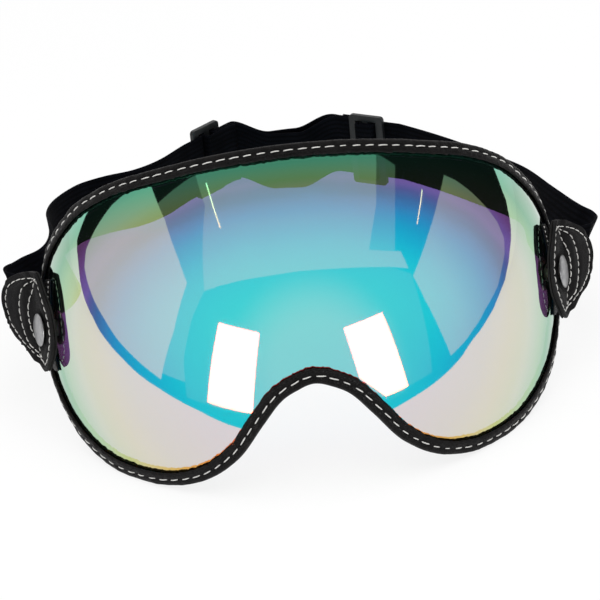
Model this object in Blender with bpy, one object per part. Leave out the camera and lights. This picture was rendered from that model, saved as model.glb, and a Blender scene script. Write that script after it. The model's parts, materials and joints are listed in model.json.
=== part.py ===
"""A bubble-shield riding goggle, standing on the two lower lobes of its lens and on the back of its strap.

Everything is modelled in the goggle's own frame first: X to its right, Y towards the wearer, Z up, with
the origin midway between the two rivets. An empty then leans it back until it stands on the floor.
"""

import math

import bmesh
import bpy
import numpy as np
from mathutils import Matrix

HALF_TURN = math.pi
QUARTER_TURN = math.pi / 2
FULL_TURN = math.tau
SMOOTH_LIMIT = math.radians(35.0)
BEVEL_LIMIT = math.radians(50.0)

# Clearances between pieces that touch
GAP = 0.0003
TURN_GAP = 0.0005
CUT_OVERRUN = 0.004

# Bubble lens: a thick shell of an ellipsoid, with the rivets a little ahead of its widest line
LENS_HALF_WIDTH = 0.1055
LENS_HALF_HEIGHT = 0.118
LENS_BULGE = 0.082
LENS_WALL = 0.0018
RIVET_AHEAD = 0.022
RIM_STATIONS = 96
EDGE_STEPS = 24
LENS_RING_SHARES = (0.14, 0.28, 0.43, 0.58, 0.71, 0.83, 0.92, 1.00)

# Lens outline on the bubble: bearing from straight up as a share of a half turn,
# then reach from the foremost point as a share of a quarter turn
RIM_SHARES = [
    (0.000, 0.345),
    (0.139, 0.379),
    (0.256, 0.489),
    (0.317, 0.620),
    (0.367, 0.756),
    (0.433, 0.920),
    (0.511, 0.962),
    (0.589, 0.899),
    (0.661, 0.769),
    (0.728, 0.618),
    (0.778, 0.503),
    (0.814, 0.393),
    (0.836, 0.284),
    (0.864, 0.216),
    (0.922, 0.178),
    (1.000, 0.162),
]

# Leather binding folded over the lens edge
BINDING_LEATHER = 0.0012
BINDING_REACH = 0.0049
FOLD_STEPS = 5
LEG_STEPS = 2

# Leather patch on the outside of the lens, under each tab
PATCH_LEATHER = 0.0007
PATCH_FRONT_REACH = 0.0130
PATCH_HALF_HEIGHT = 0.0200
PATCH_EDGE_GAP = 0.0008
PATCH_SQUARENESS = 4.0
PATCH_END_SHARE = 0.5
PATCH_ROWS = 12
PATCH_COLUMNS = 5

# Rivet: flange inside the lens, shank through everything, domed cap outside
SHANK_RADIUS = 0.0020
FLANGE_RADIUS = 0.0070
FLANGE_THICKNESS = 0.0008
CAP_RADIUS = 0.0067
CAP_HEIGHT = 0.0022
CAP_RIM_HEIGHT = 0.0005
CAP_RELIEF = 0.0006
CAP_NECK_RADIUS = 0.0032
SOCKET_DEPTH = 0.0016
WASHER_RADIUS = 0.0036
WASHER_THICKNESS = 0.0005
SHANK_PLAY = 0.0004
COLLAR_WALL = 0.0010
ROUND_SIDES = 24
DOME_STEPS = 5

# Leaf tab: two leathers bent outwards behind the rivet, with the strap's end and a pad between them there
LEAF_LEATHER = 0.0008
LEAF_HALF_HEIGHT = 0.0200
LEAF_FRONT_REACH = 0.0100
LEAF_REAR_REACH = 0.0300
LEAF_TIP_PLACE = 0.0020
LEAF_TIP_WIDTH = 0.0014
LEAF_TAPER_SHARE = 0.75
LEAF_BEND_START = 0.0020
LEAF_BEND_RADIUS = 0.0370
LEAF_ROWS = 14
LEAF_SLOPES = {-1: 0.38, 1: 0.21}
LEAF_LIFTS = {-1: 0.0030, 1: 0.0010}
FRONT_SEAM = 0.0072
FIRST_VEIN = 0.0098
SECOND_VEIN = 0.0160
REAR_SEAM = 0.0254
BORDER_CROWN = 0.0008
SEAT_CROWN = 0.0001
PANEL_CROWN = 0.0009
PANEL_STEPS = 4
EDGE_THINNING = 0.0002
STEP_START = 0.0070
STEP_LENGTH = 0.0025
PAD_THICKNESS = 0.0010
PAD_FRONT = 0.0120
PAD_REAR = 0.0230
PAD_TIP_PLACE = 0.0165
PAD_HALF_HEIGHT = 0.0120
PAD_SLOPE_LENGTH = 0.0030
PAD_ROWS = 8

# Elastic strap: two bands that overlap between the two sliders
STRAP_WIDTH = 0.0280
STRAP_THICKNESS = 0.0012
STRAP_START = 0.0102
STRAP_LEAVES_LEAF = 0.0310
STRAP_STEP = 0.0045
ROUTE_STEPS = 10
MITRE_LIMIT_SHARE = 0.5
RISE_ANGLE = math.radians(24.3)
RISE_START = 0.0160
RISE_LENGTH = 0.0200
LEAN_START = 0.0260
LEAN_LENGTH = 0.0300
TAB_RISES = {-1: 0.0070, 1: 0.0035}
TAB_RISE_LENGTH = 0.0300
FALL_START = 0.0500
FALL_LENGTH = 0.0800
BACK_SAG = 0.0080
SAG_START = -0.0215
SAG_END = 0.0100
SAG_LENGTH = 0.0200
LEFT_RAISE = 0.0004
LOOP_OUTSET = 0.0215
LOOP_HALF_WIDTH = LENS_HALF_WIDTH + LOOP_OUTSET
LOOP_DEPTH = 0.1800
LEFT_ROUTE_SHARES = [
    (0.975, 0.140),
    (0.929, 0.188),
    (0.866, 0.242),
    (0.831, 0.326),
    (0.823, 0.441),
    (0.823, 0.576),
    (0.799, 0.685),
    (0.728, 0.771),
    (0.630, 0.810),
    (0.520, 0.832),
    (0.429, 0.877),
]
RIGHT_ROUTE_SHARES = [
    (1.000, 0.165),
    (0.961, 0.250),
    (0.898, 0.387),
    (0.815, 0.582),
    (0.650, 0.777),
]

# Three-bar sliders, placed as shares of the loop's half width and depth
SLIDER_PLACE_SHARES = {-1: (0.2425, 1.0250), 1: (0.3465, 0.9972)}
SLIDER_TURNS = {-1: math.radians(45.0), 1: math.radians(33.0)}
SLIDER_THICKNESS = 0.0026
SLIDER_END_BAR = 0.0034
SLIDER_MIDDLE_BAR = 0.0034
SLIDER_CORNER = 0.0016
SLIDER_EDGE = 0.0003
SLIDER_SIDE_BAR = 0.0026
SLIDER_CORNER_STEPS = 3
SLOT_SIDE_PLAY = 0.0005
SLOT_END_PLAY = 0.0006
STRAIGHT_RUN = 0.0160
SEWN_TAIL = 0.0150
BACK_SLACK = 0.0050
BACK_PULL_SHARE = 0.50
BACK_BULGE_POWER = 1.6
BACK_STEPS = 14
WEAVE_CORNER = 0.0011

# Flats worn where the goggle stands on the floor
FOOT_FLAT_DEPTH = 0.0004
FLOOR_SIZE = 0.6000
MOST_LEAN = math.radians(60.0)
LEAN_TRIES = 40

# The stack at the rivet, measured out from the lens surface
PATCH_BASE = GAP
PATCH_TOP = PATCH_BASE + PATCH_LEATHER
WASHER_BASE = PATCH_TOP + GAP
WASHER_TOP = WASHER_BASE + WASHER_THICKNESS
LEAF_BACK_BASE = WASHER_TOP + TURN_GAP
LEAF_BACK_TOP = LEAF_BACK_BASE + LEAF_LEATHER
CORE_BASE = LEAF_BACK_TOP + GAP
CORE_TOP = CORE_BASE + STRAP_THICKNESS
PAD_BASE = CORE_TOP + GAP
LEAF_FRONT_BASE = LEAF_BACK_TOP + GAP
LEAF_SEAT = LEAF_FRONT_BASE + LEAF_LEATHER + SEAT_CROWN
CAP_BASE = LEAF_SEAT + TURN_GAP
COLLAR_RADIUS = SHANK_RADIUS + SHANK_PLAY + COLLAR_WALL
LEAF_BORE = COLLAR_RADIUS + GAP

# Widths inside a slider, measured from its middle bar outwards
LOOP_LINE = SLIDER_MIDDLE_BAR / 2 + GAP + STRAP_THICKNESS / 2
WEAVE_LINE = LOOP_LINE + STRAP_THICKNESS + GAP
SLOT_EDGE = WEAVE_LINE + STRAP_THICKNESS / 2 + SLOT_END_PLAY
SLIDER_HALF_LENGTH = SLOT_EDGE + SLIDER_END_BAR
SLIDER_HALF_HEIGHT = STRAP_WIDTH / 2 + SLOT_SIDE_PLAY + SLIDER_SIDE_BAR
UNDER_LEVEL = SLIDER_THICKNESS / 2 + GAP + STRAP_THICKNESS / 2
OVER_LEVEL = UNDER_LEVEL + STRAP_THICKNESS + GAP

LEATHER = ("black_leather", (0.012, 0.012, 0.014), 0.55, 0.0)
POLYCARBONATE = ("clear_mirror_polycarbonate", (0.35, 0.80, 0.82), 0.05, 0.0)
SATIN_METAL = ("satin_nickel", (0.62, 0.62, 0.64), 0.30, 1.0)
ELASTIC = ("black_elastic", (0.010, 0.011, 0.016), 0.85, 0.0)
SLIDER_PLASTIC = ("black_acetal", (0.030, 0.031, 0.035), 0.40, 0.0)
PAD_FOAM = ("grey_foam", (0.10, 0.10, 0.11), 0.95, 0.0)


def clear_scene():
    for item in list(bpy.data.objects):
        bpy.data.objects.remove(item, do_unlink=True)


def finish_material(finish):
    name, colour, roughness, metallic = finish
    material = bpy.data.materials.get(name)
    if material is None:
        material = bpy.data.materials.new(name)
        material.use_nodes = True
        shader = material.node_tree.nodes["Principled BSDF"]
        shader.inputs["Base Color"].default_value = (*colour, 1.0)
        shader.inputs["Roughness"].default_value = roughness
        shader.inputs["Metallic"].default_value = metallic
    return material


def add_empty(name, parent, place):
    empty = bpy.data.objects.new(name, None)
    bpy.context.scene.collection.objects.link(empty)
    empty.parent = parent
    empty.location = place
    return empty


def add_piece(name, vertices, faces, finish, parent, frame=None):
    """Add a closed mesh whose vertices are in its parent's frame, or in the given frame of its own."""
    mesh = bpy.data.meshes.new(name)
    mesh.from_pydata([tuple(vertex) for vertex in vertices], [], faces)
    work = bmesh.new()
    work.from_mesh(mesh)
    bmesh.ops.recalc_face_normals(work, faces=work.faces)
    work.to_mesh(mesh)
    work.free()
    mesh.shade_smooth()
    mesh.set_sharp_from_angle(angle=SMOOTH_LIMIT)
    mesh.materials.append(finish_material(finish))
    piece = bpy.data.objects.new(name, mesh)
    bpy.context.scene.collection.objects.link(piece)
    piece.parent = parent
    if frame is not None:
        piece.matrix_local = frame
    return piece


def cut(piece, cutter):
    cutter.hide_render = True
    cutter.display_type = 'WIRE'
    modifier = piece.modifiers.new("cut_" + cutter.name, 'BOOLEAN')
    modifier.operation = 'DIFFERENCE'
    modifier.solver = 'EXACT'
    modifier.object = cutter


def smooth_line(points, steps, closed=False):
    """Points along a smooth curve through the given points, evenly spread over each span."""
    knots = [np.array(point, float) for point in points]
    count = len(knots)
    if closed:
        knots = [knots[-1]] + knots + knots[:2]
    else:
        knots = [2 * knots[0] - knots[1]] + knots + [2 * knots[-1] - knots[-2]]
    line = []
    spans = count if closed else count - 1
    for span in range(spans):
        before, start, end, after = knots[span:span + 4]
        lead = np.linalg.norm(start - before)
        length = np.linalg.norm(end - start)
        trail = np.linalg.norm(after - end)
        slope_start = (end - before) / (lead + length) * length
        slope_end = (after - start) / (length + trail) * length
        for step in range(steps):
            t = step / steps
            line.append((2 * t**3 - 3 * t**2 + 1) * start + (t**3 - 2 * t**2 + t) * slope_start
                        + (3 * t**2 - 2 * t**3) * end + (t**3 - t**2) * slope_end)
    if not closed:
        line.append(knots[-2])
    return line


def spaced(line, count, closed=False):
    """The same line with evenly spaced points."""
    points = np.array(line + line[:1] if closed else line)
    along = np.concatenate([[0.0], np.cumsum(np.linalg.norm(np.diff(points, axis=0), axis=1))])
    wanted = np.linspace(0.0, along[-1], count + 1 if closed else count)
    if closed:
        wanted = wanted[:-1]
    return np.stack([np.interp(wanted, along, points[:, axis]) for axis in range(points.shape[1])], axis=1)


# The bubble

BUBBLE_AXES = np.array([LENS_HALF_WIDTH, LENS_BULGE, LENS_HALF_HEIGHT])
BUBBLE_CENTRE = np.array([0.0, RIVET_AHEAD, 0.0])


def bubble_point(across, upward):
    """The bubble's outer surface at a place on its flat map, where a reach of 1 is a quarter turn."""
    reach = math.hypot(across, upward)
    angle = reach * QUARTER_TURN
    spread = math.sin(angle) / reach if reach else 0.0
    return BUBBLE_CENTRE + BUBBLE_AXES * np.array([across * spread, -math.cos(angle), upward * spread])


def bubble_normal(point):
    normal = (point - BUBBLE_CENTRE) / BUBBLE_AXES**2
    return normal / np.linalg.norm(normal)


def on_bubble(point, height):
    """The nearest place on the bubble, raised by a height along its normal."""
    unit = (point - BUBBLE_CENTRE) / BUBBLE_AXES
    seat = BUBBLE_CENTRE + unit / np.linalg.norm(unit) * BUBBLE_AXES
    return seat + bubble_normal(seat) * height


def rim_map():
    """The lens outline on the bubble's flat map, evenly spaced along the real edge."""
    half = []
    for bearing_share, reach_share in RIM_SHARES:
        bearing = bearing_share * HALF_TURN
        half.append((reach_share * math.sin(bearing), reach_share * math.cos(bearing)))
    other_half = [(-across, upward) for across, upward in reversed(half[1:-1])]
    line = smooth_line(half + other_half, EDGE_STEPS, closed=True)
    edge = [np.concatenate([bubble_point(*place), place]) for place in line]
    places = np.array(edge + edge[:1])
    along = np.concatenate([[0.0], np.cumsum(np.linalg.norm(np.diff(places[:, :3], axis=0), axis=1))])
    wanted = np.linspace(0.0, along[-1], RIM_STATIONS + 1)[:-1]
    return [(np.interp(w, along, places[:, 3]), np.interp(w, along, places[:, 4])) for w in wanted]


def map_place(point):
    """The flat map place of a point on the bubble."""
    unit = (point - BUBBLE_CENTRE) / BUBBLE_AXES
    reach = math.acos(-unit[1] / np.linalg.norm(unit)) / QUARTER_TURN
    bearing = math.atan2(unit[0], unit[2])
    return reach * math.sin(bearing), reach * math.cos(bearing)


def rim_frames(outline):
    """Each station's point on the lens edge and the way from it across the lens."""
    edge = [bubble_point(*place) for place in outline]
    frames = []
    for station, point in enumerate(edge):
        along = edge[(station + 1) % RIM_STATIONS] - edge[station - 1]
        inward = np.cross(along, bubble_normal(point))
        frames.append((point, inward / np.linalg.norm(inward)))
    return frames


def build_lens(parent, outline):
    """Rings that shrink from the binding's inner edge to the middle, and one last ring at the lens edge."""
    inner_edge = []
    for point, inward in rim_frames(outline):
        inner_edge.append(map_place(on_bubble(point + inward * BINDING_REACH, 0.0)))
    rings = []
    for share in LENS_RING_SHARES:
        rings.append([(across * share, upward * share) for across, upward in inner_edge])
    rings.append(outline)
    vertices = []
    for height in (0.0, -LENS_WALL):
        vertices.append(on_bubble(bubble_point(0.0, 0.0), height))
        for ring in rings:
            vertices += [on_bubble(bubble_point(*place), height) for place in ring]
    side = 1 + len(rings) * RIM_STATIONS
    last = side - RIM_STATIONS
    faces = []
    for station in range(RIM_STATIONS):
        ahead = (station + 1) % RIM_STATIONS
        for base in (0, side):
            faces.append((base, base + 1 + station, base + 1 + ahead))
            for ring in range(len(rings) - 1):
                first = base + 1 + ring * RIM_STATIONS
                second = first + RIM_STATIONS
                faces.append((first + station, second + station, second + ahead, first + ahead))
        faces.append((last + station, side + last + station, side + last + ahead, last + ahead))
    return add_piece("lens", vertices, faces, POLYCARBONATE, parent)


def binding_section():
    """The binding's closed section: inward reach from the lens edge, then height above the lens."""
    middle = -LENS_WALL / 2
    tall = LENS_WALL / 2 + GAP + BINDING_LEATHER
    deep = GAP + BINDING_LEATHER
    section = []
    for step in range(LEG_STEPS):
        section.append((BINDING_REACH * (1 - step / LEG_STEPS), middle + tall))
    for step in range(FOLD_STEPS + 1):
        turn = QUARTER_TURN - step / FOLD_STEPS * HALF_TURN
        section.append((-deep * math.cos(turn), middle + tall * math.sin(turn)))
    for step in range(1, LEG_STEPS + 1):
        section.append((BINDING_REACH * step / LEG_STEPS, middle - tall))
    inner = tall - BINDING_LEATHER
    for step in range(LEG_STEPS):
        section.append((BINDING_REACH * (1 - step / LEG_STEPS), middle - inner))
    section.append((-GAP, middle - inner))
    section.append((-GAP, middle + inner))
    for step in range(1, LEG_STEPS + 1):
        section.append((BINDING_REACH * step / LEG_STEPS, middle + inner))
    return section


def build_binding(parent, outline):
    section = binding_section()
    vertices = []
    for point, inward in rim_frames(outline):
        for reach, height in section:
            vertices.append(on_bubble(point + inward * reach, height))
    faces = []
    corners = len(section)
    for station in range(RIM_STATIONS):
        first = station * corners
        second = (station + 1) % RIM_STATIONS * corners
        for corner in range(corners):
            ahead = (corner + 1) % corners
            faces.append((first + corner, second + corner, second + ahead, first + ahead))
    return add_piece("rim_binding", vertices, faces, LEATHER, parent)


# The rivets and what they hold

RIVET_REACH = math.acos(RIVET_AHEAD / LENS_BULGE) / QUARTER_TURN
RIVET_SEAT = bubble_point(RIVET_REACH, 0.0)
RIVET_NORMAL = bubble_normal(RIVET_SEAT)
RIVET_BACK = np.array([-RIVET_NORMAL[1], RIVET_NORMAL[0], 0.0])
SIDE_CURVE_RADIUS = (LENS_BULGE**2 * LENS_HALF_WIDTH**2
                     * ((RIVET_SEAT[0] / LENS_HALF_WIDTH**2)**2 + (RIVET_AHEAD / LENS_BULGE**2)**2) ** 1.5)
PIVOT_STAND = (LEAF_BACK_BASE + LEAF_SEAT) / 2
PIVOT_PLACE = float(RIVET_SEAT[1] + RIVET_NORMAL[1] * PIVOT_STAND)


def mirrored(point, side):
    return np.array([point[0] * side, point[1], point[2]])


def rivet_frame(side):
    """Origin on the lens at the rivet, Z outwards along the rivet, X towards the wearer."""
    outward = mirrored(RIVET_NORMAL, side)
    back = mirrored(RIVET_BACK, side)
    level = np.cross(outward, back)
    frame = Matrix.Identity(4)
    for row in range(3):
        frame[row][0] = back[row]
        frame[row][1] = level[row]
        frame[row][2] = outward[row]
        frame[row][3] = mirrored(RIVET_SEAT, side)[row]
    return frame


def turned(name, profile, finish, parent, frame, ring=False):
    """Turn a profile of radius and height about the frame's Z axis."""
    vertices = []
    rows = []
    for radius, height in profile:
        if radius == 0.0:
            rows.append([len(vertices)] * ROUND_SIDES)
            vertices.append((0.0, 0.0, height))
        else:
            rows.append([len(vertices) + side for side in range(ROUND_SIDES)])
            for side in range(ROUND_SIDES):
                turn = FULL_TURN * side / ROUND_SIDES
                vertices.append((radius * math.cos(turn), radius * math.sin(turn), height))
    faces = []
    pairs = list(zip(rows, rows[1:]))
    if ring:
        pairs.append((rows[-1], rows[0]))
    for lower, upper in pairs:
        for side in range(ROUND_SIDES):
            ahead = (side + 1) % ROUND_SIDES
            corners = [lower[side], lower[ahead], upper[ahead], upper[side]]
            faces.append(tuple(dict.fromkeys(corners)))
    return add_piece(name, vertices, faces, finish, parent, frame)


def in_parent(parent, frame):
    """A frame given in the goggle's frame, as its parent sees it."""
    return Matrix.Translation(-parent.location) @ frame


def ring_profile(inner, outer, low, high):
    return [(inner, low), (outer, low), (outer, high), (inner, high)]


def build_rivet(side, tag, shield, tab):
    frame = in_parent(shield, rivet_frame(side))
    sag = FLANGE_RADIUS**2 / (2 * SIDE_CURVE_RADIUS)
    flange_top = -LENS_WALL - GAP - sag
    shank_top = CAP_BASE + SOCKET_DEPTH - GAP
    flange_base = flange_top - FLANGE_THICKNESS
    stud = [(0.0, flange_base), (FLANGE_RADIUS, flange_base), (FLANGE_RADIUS, flange_top),
            (SHANK_RADIUS, flange_top), (SHANK_RADIUS, shank_top), (0.0, shank_top)]
    turned("rivet_stud_" + tag, stud, SATIN_METAL, shield, frame)
    washer = ring_profile(SHANK_RADIUS + GAP, WASHER_RADIUS, WASHER_BASE, WASHER_TOP)
    turned("spacer_washer_" + tag, washer, SATIN_METAL, shield, frame, ring=True)
    rim = CAP_BASE + CAP_RELIEF
    cap = [(0.0, CAP_BASE + SOCKET_DEPTH), (SHANK_RADIUS + GAP, CAP_BASE + SOCKET_DEPTH),
           (SHANK_RADIUS + GAP, CAP_BASE), (CAP_NECK_RADIUS, CAP_BASE), (CAP_RADIUS, rim)]
    for step in range(DOME_STEPS):
        turn = QUARTER_TURN * step / DOME_STEPS
        rise = (CAP_HEIGHT - CAP_RIM_HEIGHT) * math.sin(turn)
        cap.append((CAP_RADIUS * math.cos(turn), rim + CAP_RIM_HEIGHT + rise))
    cap.append((0.0, rim + CAP_HEIGHT))
    turned("rivet_cap_" + tag, cap, SATIN_METAL, shield, frame)
    collar = ring_profile(SHANK_RADIUS + SHANK_PLAY, COLLAR_RADIUS, LEAF_BACK_BASE, LEAF_SEAT)
    turned("shank_collar_" + tag, collar, SATIN_METAL, tab, in_parent(tab, rivet_frame(side)), ring=True)


def rivet_cutter(name, side, radius, parent):
    low = -LENS_WALL - CUT_OVERRUN
    high = CAP_BASE + CUT_OVERRUN
    profile = [(0.0, low), (radius, low), (radius, high), (0.0, high)]
    return turned(name, profile, SATIN_METAL, parent, in_parent(parent, rivet_frame(side)))


def add_sheet(name, top, bottom, finish, parent):
    """A closed sheet between two grids of the same size, rows of points each."""
    rows = len(top)
    columns = len(top[0])
    vertices = [point for grid in (top, bottom) for row in grid for point in row]
    under = rows * columns
    faces = []
    for row in range(rows - 1):
        for column in range(columns - 1):
            corner = row * columns + column
            quad = (corner, corner + 1, corner + columns + 1, corner + columns)
            faces.append(quad)
            faces.append(tuple(under + index for index in reversed(quad)))
    border = [column for column in range(columns)]
    border += [row * columns + columns - 1 for row in range(1, rows)]
    border += [(rows - 1) * columns + column for column in range(columns - 2, -1, -1)]
    border += [row * columns for row in range(rows - 2, 0, -1)]
    for first, second in zip(border, border[1:] + border[:1]):
        faces.append((first, second, under + second, under + first))
    return add_piece(name, vertices, faces, finish, parent)


def build_patch(side, tag, parent, outline):
    """A leather patch that lies on the lens from ahead of the rivet back to the binding."""
    rim = sorted((abs(math.atan2(across, upward)), math.hypot(across, upward)) for across, upward in outline)
    top, bottom = [], []
    for row in range(PATCH_ROWS + 1):
        level = PATCH_HALF_HEIGHT * (2 * row / PATCH_ROWS - 1)
        roundness = (1 - abs(level / PATCH_HALF_HEIGHT) ** PATCH_SQUARENESS) ** (1 / PATCH_SQUARENESS)
        bearing = math.acos(level / LENS_HALF_HEIGHT)
        edge = np.interp(bearing, [place[0] for place in rim], [place[1] for place in rim])
        rear = edge * QUARTER_TURN - (BINDING_REACH + PATCH_EDGE_GAP) / LENS_BULGE
        ahead = PATCH_FRONT_REACH * roundness / LENS_BULGE
        front = RIVET_REACH * QUARTER_TURN - ahead
        rear_end = RIVET_REACH * QUARTER_TURN
        rear_end += (rear - RIVET_REACH * QUARTER_TURN) * max(roundness, PATCH_END_SHARE)
        upper, lower = [], []
        for column in range(PATCH_COLUMNS + 1):
            reach = front + (rear_end - front) * column / PATCH_COLUMNS
            tilt = math.acos(level / (LENS_HALF_HEIGHT * math.sin(reach)))
            seat = bubble_point(reach / QUARTER_TURN * math.sin(tilt), reach / QUARTER_TURN * math.cos(tilt))
            upper.append(mirrored(on_bubble(seat, PATCH_TOP), side))
            lower.append(mirrored(on_bubble(seat, PATCH_BASE), side))
        top.append(upper)
        bottom.append(lower)
    return add_sheet("side_patch_" + tag, top, bottom, LEATHER, parent)


def leaf_plan(along, stand):
    """Plan view of the leaf's bend: place along it from the rivet, and stand-off from the lens."""
    bend = max(0.0, (along - LEAF_BEND_START) / LEAF_BEND_RADIUS)
    if bend:
        back = LEAF_BEND_START + LEAF_BEND_RADIUS * math.sin(bend)
        out = LEAF_BEND_RADIUS * (1 - math.cos(bend))
    else:
        back, out = along, 0.0
    facing = RIVET_NORMAL * math.cos(bend) - RIVET_BACK * math.sin(bend)
    return RIVET_SEAT + RIVET_BACK * back + RIVET_NORMAL * out + facing * stand


def ramp(value, start, length):
    share = min(max((value - start) / length, 0.0), 1.0)
    return share * share * (3 - 2 * share)


def over_core(along, level):
    """How far the outer leather is lifted by the strap's end and the pad under it."""
    over_strap = ramp(along, STEP_START, STEP_LENGTH)
    over_pad = ramp(along, STEP_START + PAD_SLOPE_LENGTH / 2, PAD_SLOPE_LENGTH)
    over_pad *= 1 - ramp(along, PAD_REAR, PAD_SLOPE_LENGTH)
    over_pad *= 1 - ramp(abs(level), PAD_HALF_HEIGHT, PAD_SLOPE_LENGTH)
    return over_strap * (STRAP_THICKNESS + GAP) + over_pad * (PAD_THICKNESS + GAP)


def leaf_point(side, parent, along, level, stand):
    point = leaf_plan(along, stand)
    point[2] += level + LEAF_LIFTS[side] + LEAF_SLOPES[side] * (along - LEAF_TIP_PLACE)
    return mirrored(point, side) - np.array(parent.location)


def leaf_grid(side, parent, columns, stands, rows, half_height, tip_place, draped=False):
    """A leaf-shaped grid: each column is a place along the bend, drawn in towards the two tips."""
    grid = []
    for row in range(rows + 1):
        level = half_height * math.sin(QUARTER_TURN * (2 * row / rows - 1))
        fullness = max(0.0, 1 - (level / half_height) ** 2) ** LEAF_TAPER_SHARE
        line = []
        for column, stand in zip(columns, stands):
            spread = max(fullness, LEAF_TIP_WIDTH / (columns[-1] - columns[0]))
            along = tip_place + (column - tip_place) * spread
            lift = over_core(along, level) if draped else 0.0
            line.append(leaf_point(side, parent, along, level, stand + lift))
        grid.append(line)
    return grid


def build_leaf(side, tag, tab):
    bore = rivet_cutter("leaf_bore_" + tag, side, LEAF_BORE, tab)
    leaf = {"rows": LEAF_ROWS, "half_height": LEAF_HALF_HEIGHT, "tip_place": LEAF_TIP_PLACE}
    pad = {"rows": PAD_ROWS, "half_height": PAD_HALF_HEIGHT, "tip_place": PAD_TIP_PLACE}

    columns = np.linspace(-LEAF_FRONT_REACH, LEAF_REAR_REACH, PANEL_STEPS * 2 + 1)
    top = leaf_grid(side, tab, columns, [LEAF_BACK_TOP] * len(columns), **leaf)
    bottom = leaf_grid(side, tab, columns, [LEAF_BACK_BASE] * len(columns), **leaf)
    cut(add_sheet("leaf_back_" + tag, top, bottom, LEATHER, tab), bore)

    columns = np.linspace(PAD_FRONT, PAD_REAR, PANEL_STEPS + 1)
    top = leaf_grid(side, tab, columns, [PAD_BASE + PAD_THICKNESS] * len(columns), **pad)
    bottom = leaf_grid(side, tab, columns, [PAD_BASE] * len(columns), **pad)
    add_sheet("leaf_foam_" + tag, top, bottom, PAD_FOAM, tab)

    seams = [-LEAF_FRONT_REACH, -FRONT_SEAM, STEP_START, FIRST_VEIN, SECOND_VEIN, REAR_SEAM, LEAF_REAR_REACH]
    crowns = [BORDER_CROWN, SEAT_CROWN, SEAT_CROWN, PANEL_CROWN, PANEL_CROWN, BORDER_CROWN]
    columns = [seams[0]]
    tops = [LEAF_FRONT_BASE + LEAF_LEATHER - EDGE_THINNING]
    for start, end, crown in zip(seams, seams[1:], crowns):
        for step in range(1, PANEL_STEPS + 1):
            share = step / PANEL_STEPS
            columns.append(start + (end - start) * share)
            tops.append(LEAF_FRONT_BASE + LEAF_LEATHER + crown * math.sin(HALF_TURN * share))
    tops[-1] = tops[0]
    top = leaf_grid(side, tab, columns, tops, draped=True, **leaf)
    bottom = leaf_grid(side, tab, columns, [LEAF_FRONT_BASE] * len(columns), draped=True, **leaf)
    cut(add_sheet("leaf_front_" + tag, top, bottom, LEATHER, tab), bore)


# The strap

def strap_place(side, across, back, level):
    """A place on the strap's own sheet, which lies level at the tabs and rises behind them."""
    bend = min(max((back - RISE_START) / RISE_LENGTH, 0.0), 1.0)
    angle = bend * RISE_ANGLE
    radius = RISE_LENGTH / RISE_ANGLE
    depth = min(back, RISE_START) + radius * math.sin(angle)
    height = radius * (1 - math.cos(angle))
    beyond = max(0.0, back - RISE_START - RISE_LENGTH)
    depth += beyond * math.cos(RISE_ANGLE)
    height += beyond * math.sin(RISE_ANGLE)
    lift = band_lift(side, across, depth)
    slope = angle + math.atan((band_lift(side, across, depth + GAP) - lift) / GAP)
    lean = angle * ramp(depth, LEAN_START, LEAN_LENGTH)
    level /= math.cos(slope - lean)
    return np.array([across, depth - level * math.sin(lean), height + lift + level * math.cos(lean)])


def band_lift(side, across, depth):
    """How much higher than the strap's sheet a band runs: up behind its tab, and down between the sliders."""
    tab = LEAF_LIFTS[side] + TAB_RISES[side] * ramp(depth, 0.0, TAB_RISE_LENGTH)
    sag = BACK_SAG * ramp(across, SAG_START, SAG_LENGTH) * (1 - ramp(across, SAG_END, SAG_LENGTH))
    left = LEFT_RAISE * (1 - ramp(across, SAG_START, SAG_END + SAG_LENGTH - SAG_START))
    return tab * (1 - ramp(depth, FALL_START, FALL_LENGTH)) - sag + left


def slider_plan(side):
    """Plan of a slider: its centre line place on the strap, the way along the strap, and its open side."""
    turn = SLIDER_TURNS[side]
    across = LOOP_HALF_WIDTH * SLIDER_PLACE_SHARES[side][0]
    back = LOOP_DEPTH * SLIDER_PLACE_SHARES[side][1]
    along = np.array([-side * math.cos(turn), math.sin(turn)])
    outward = np.array([side * math.sin(turn), math.cos(turn)])
    facing = outward * -side
    return np.array([side * across, back]) + facing * UNDER_LEVEL, along, facing


def slider_line(side, places):
    centre, along, facing = slider_plan(side)
    return [centre + along * a + facing * f for a, f in places]


def weave_places():
    """A band's way through a slider: under an end bar, over the middle bar, under the other end bar."""
    half = [(-WEAVE_LINE - WEAVE_CORNER, -UNDER_LEVEL),
            (-WEAVE_LINE - WEAVE_CORNER * (1 - math.cos(QUARTER_TURN / 2)), -UNDER_LEVEL
             + WEAVE_CORNER * (1 - math.sin(QUARTER_TURN / 2))),
            (-WEAVE_LINE, WEAVE_CORNER - UNDER_LEVEL),
            (-WEAVE_LINE, OVER_LEVEL - WEAVE_CORNER),
            (-WEAVE_LINE + WEAVE_CORNER * (1 - math.cos(QUARTER_TURN / 2)), OVER_LEVEL
             - WEAVE_CORNER * (1 - math.sin(QUARTER_TURN / 2))),
            (WEAVE_CORNER - WEAVE_LINE, OVER_LEVEL)]
    return half + [(-a, f) for a, f in reversed(half)]


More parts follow.
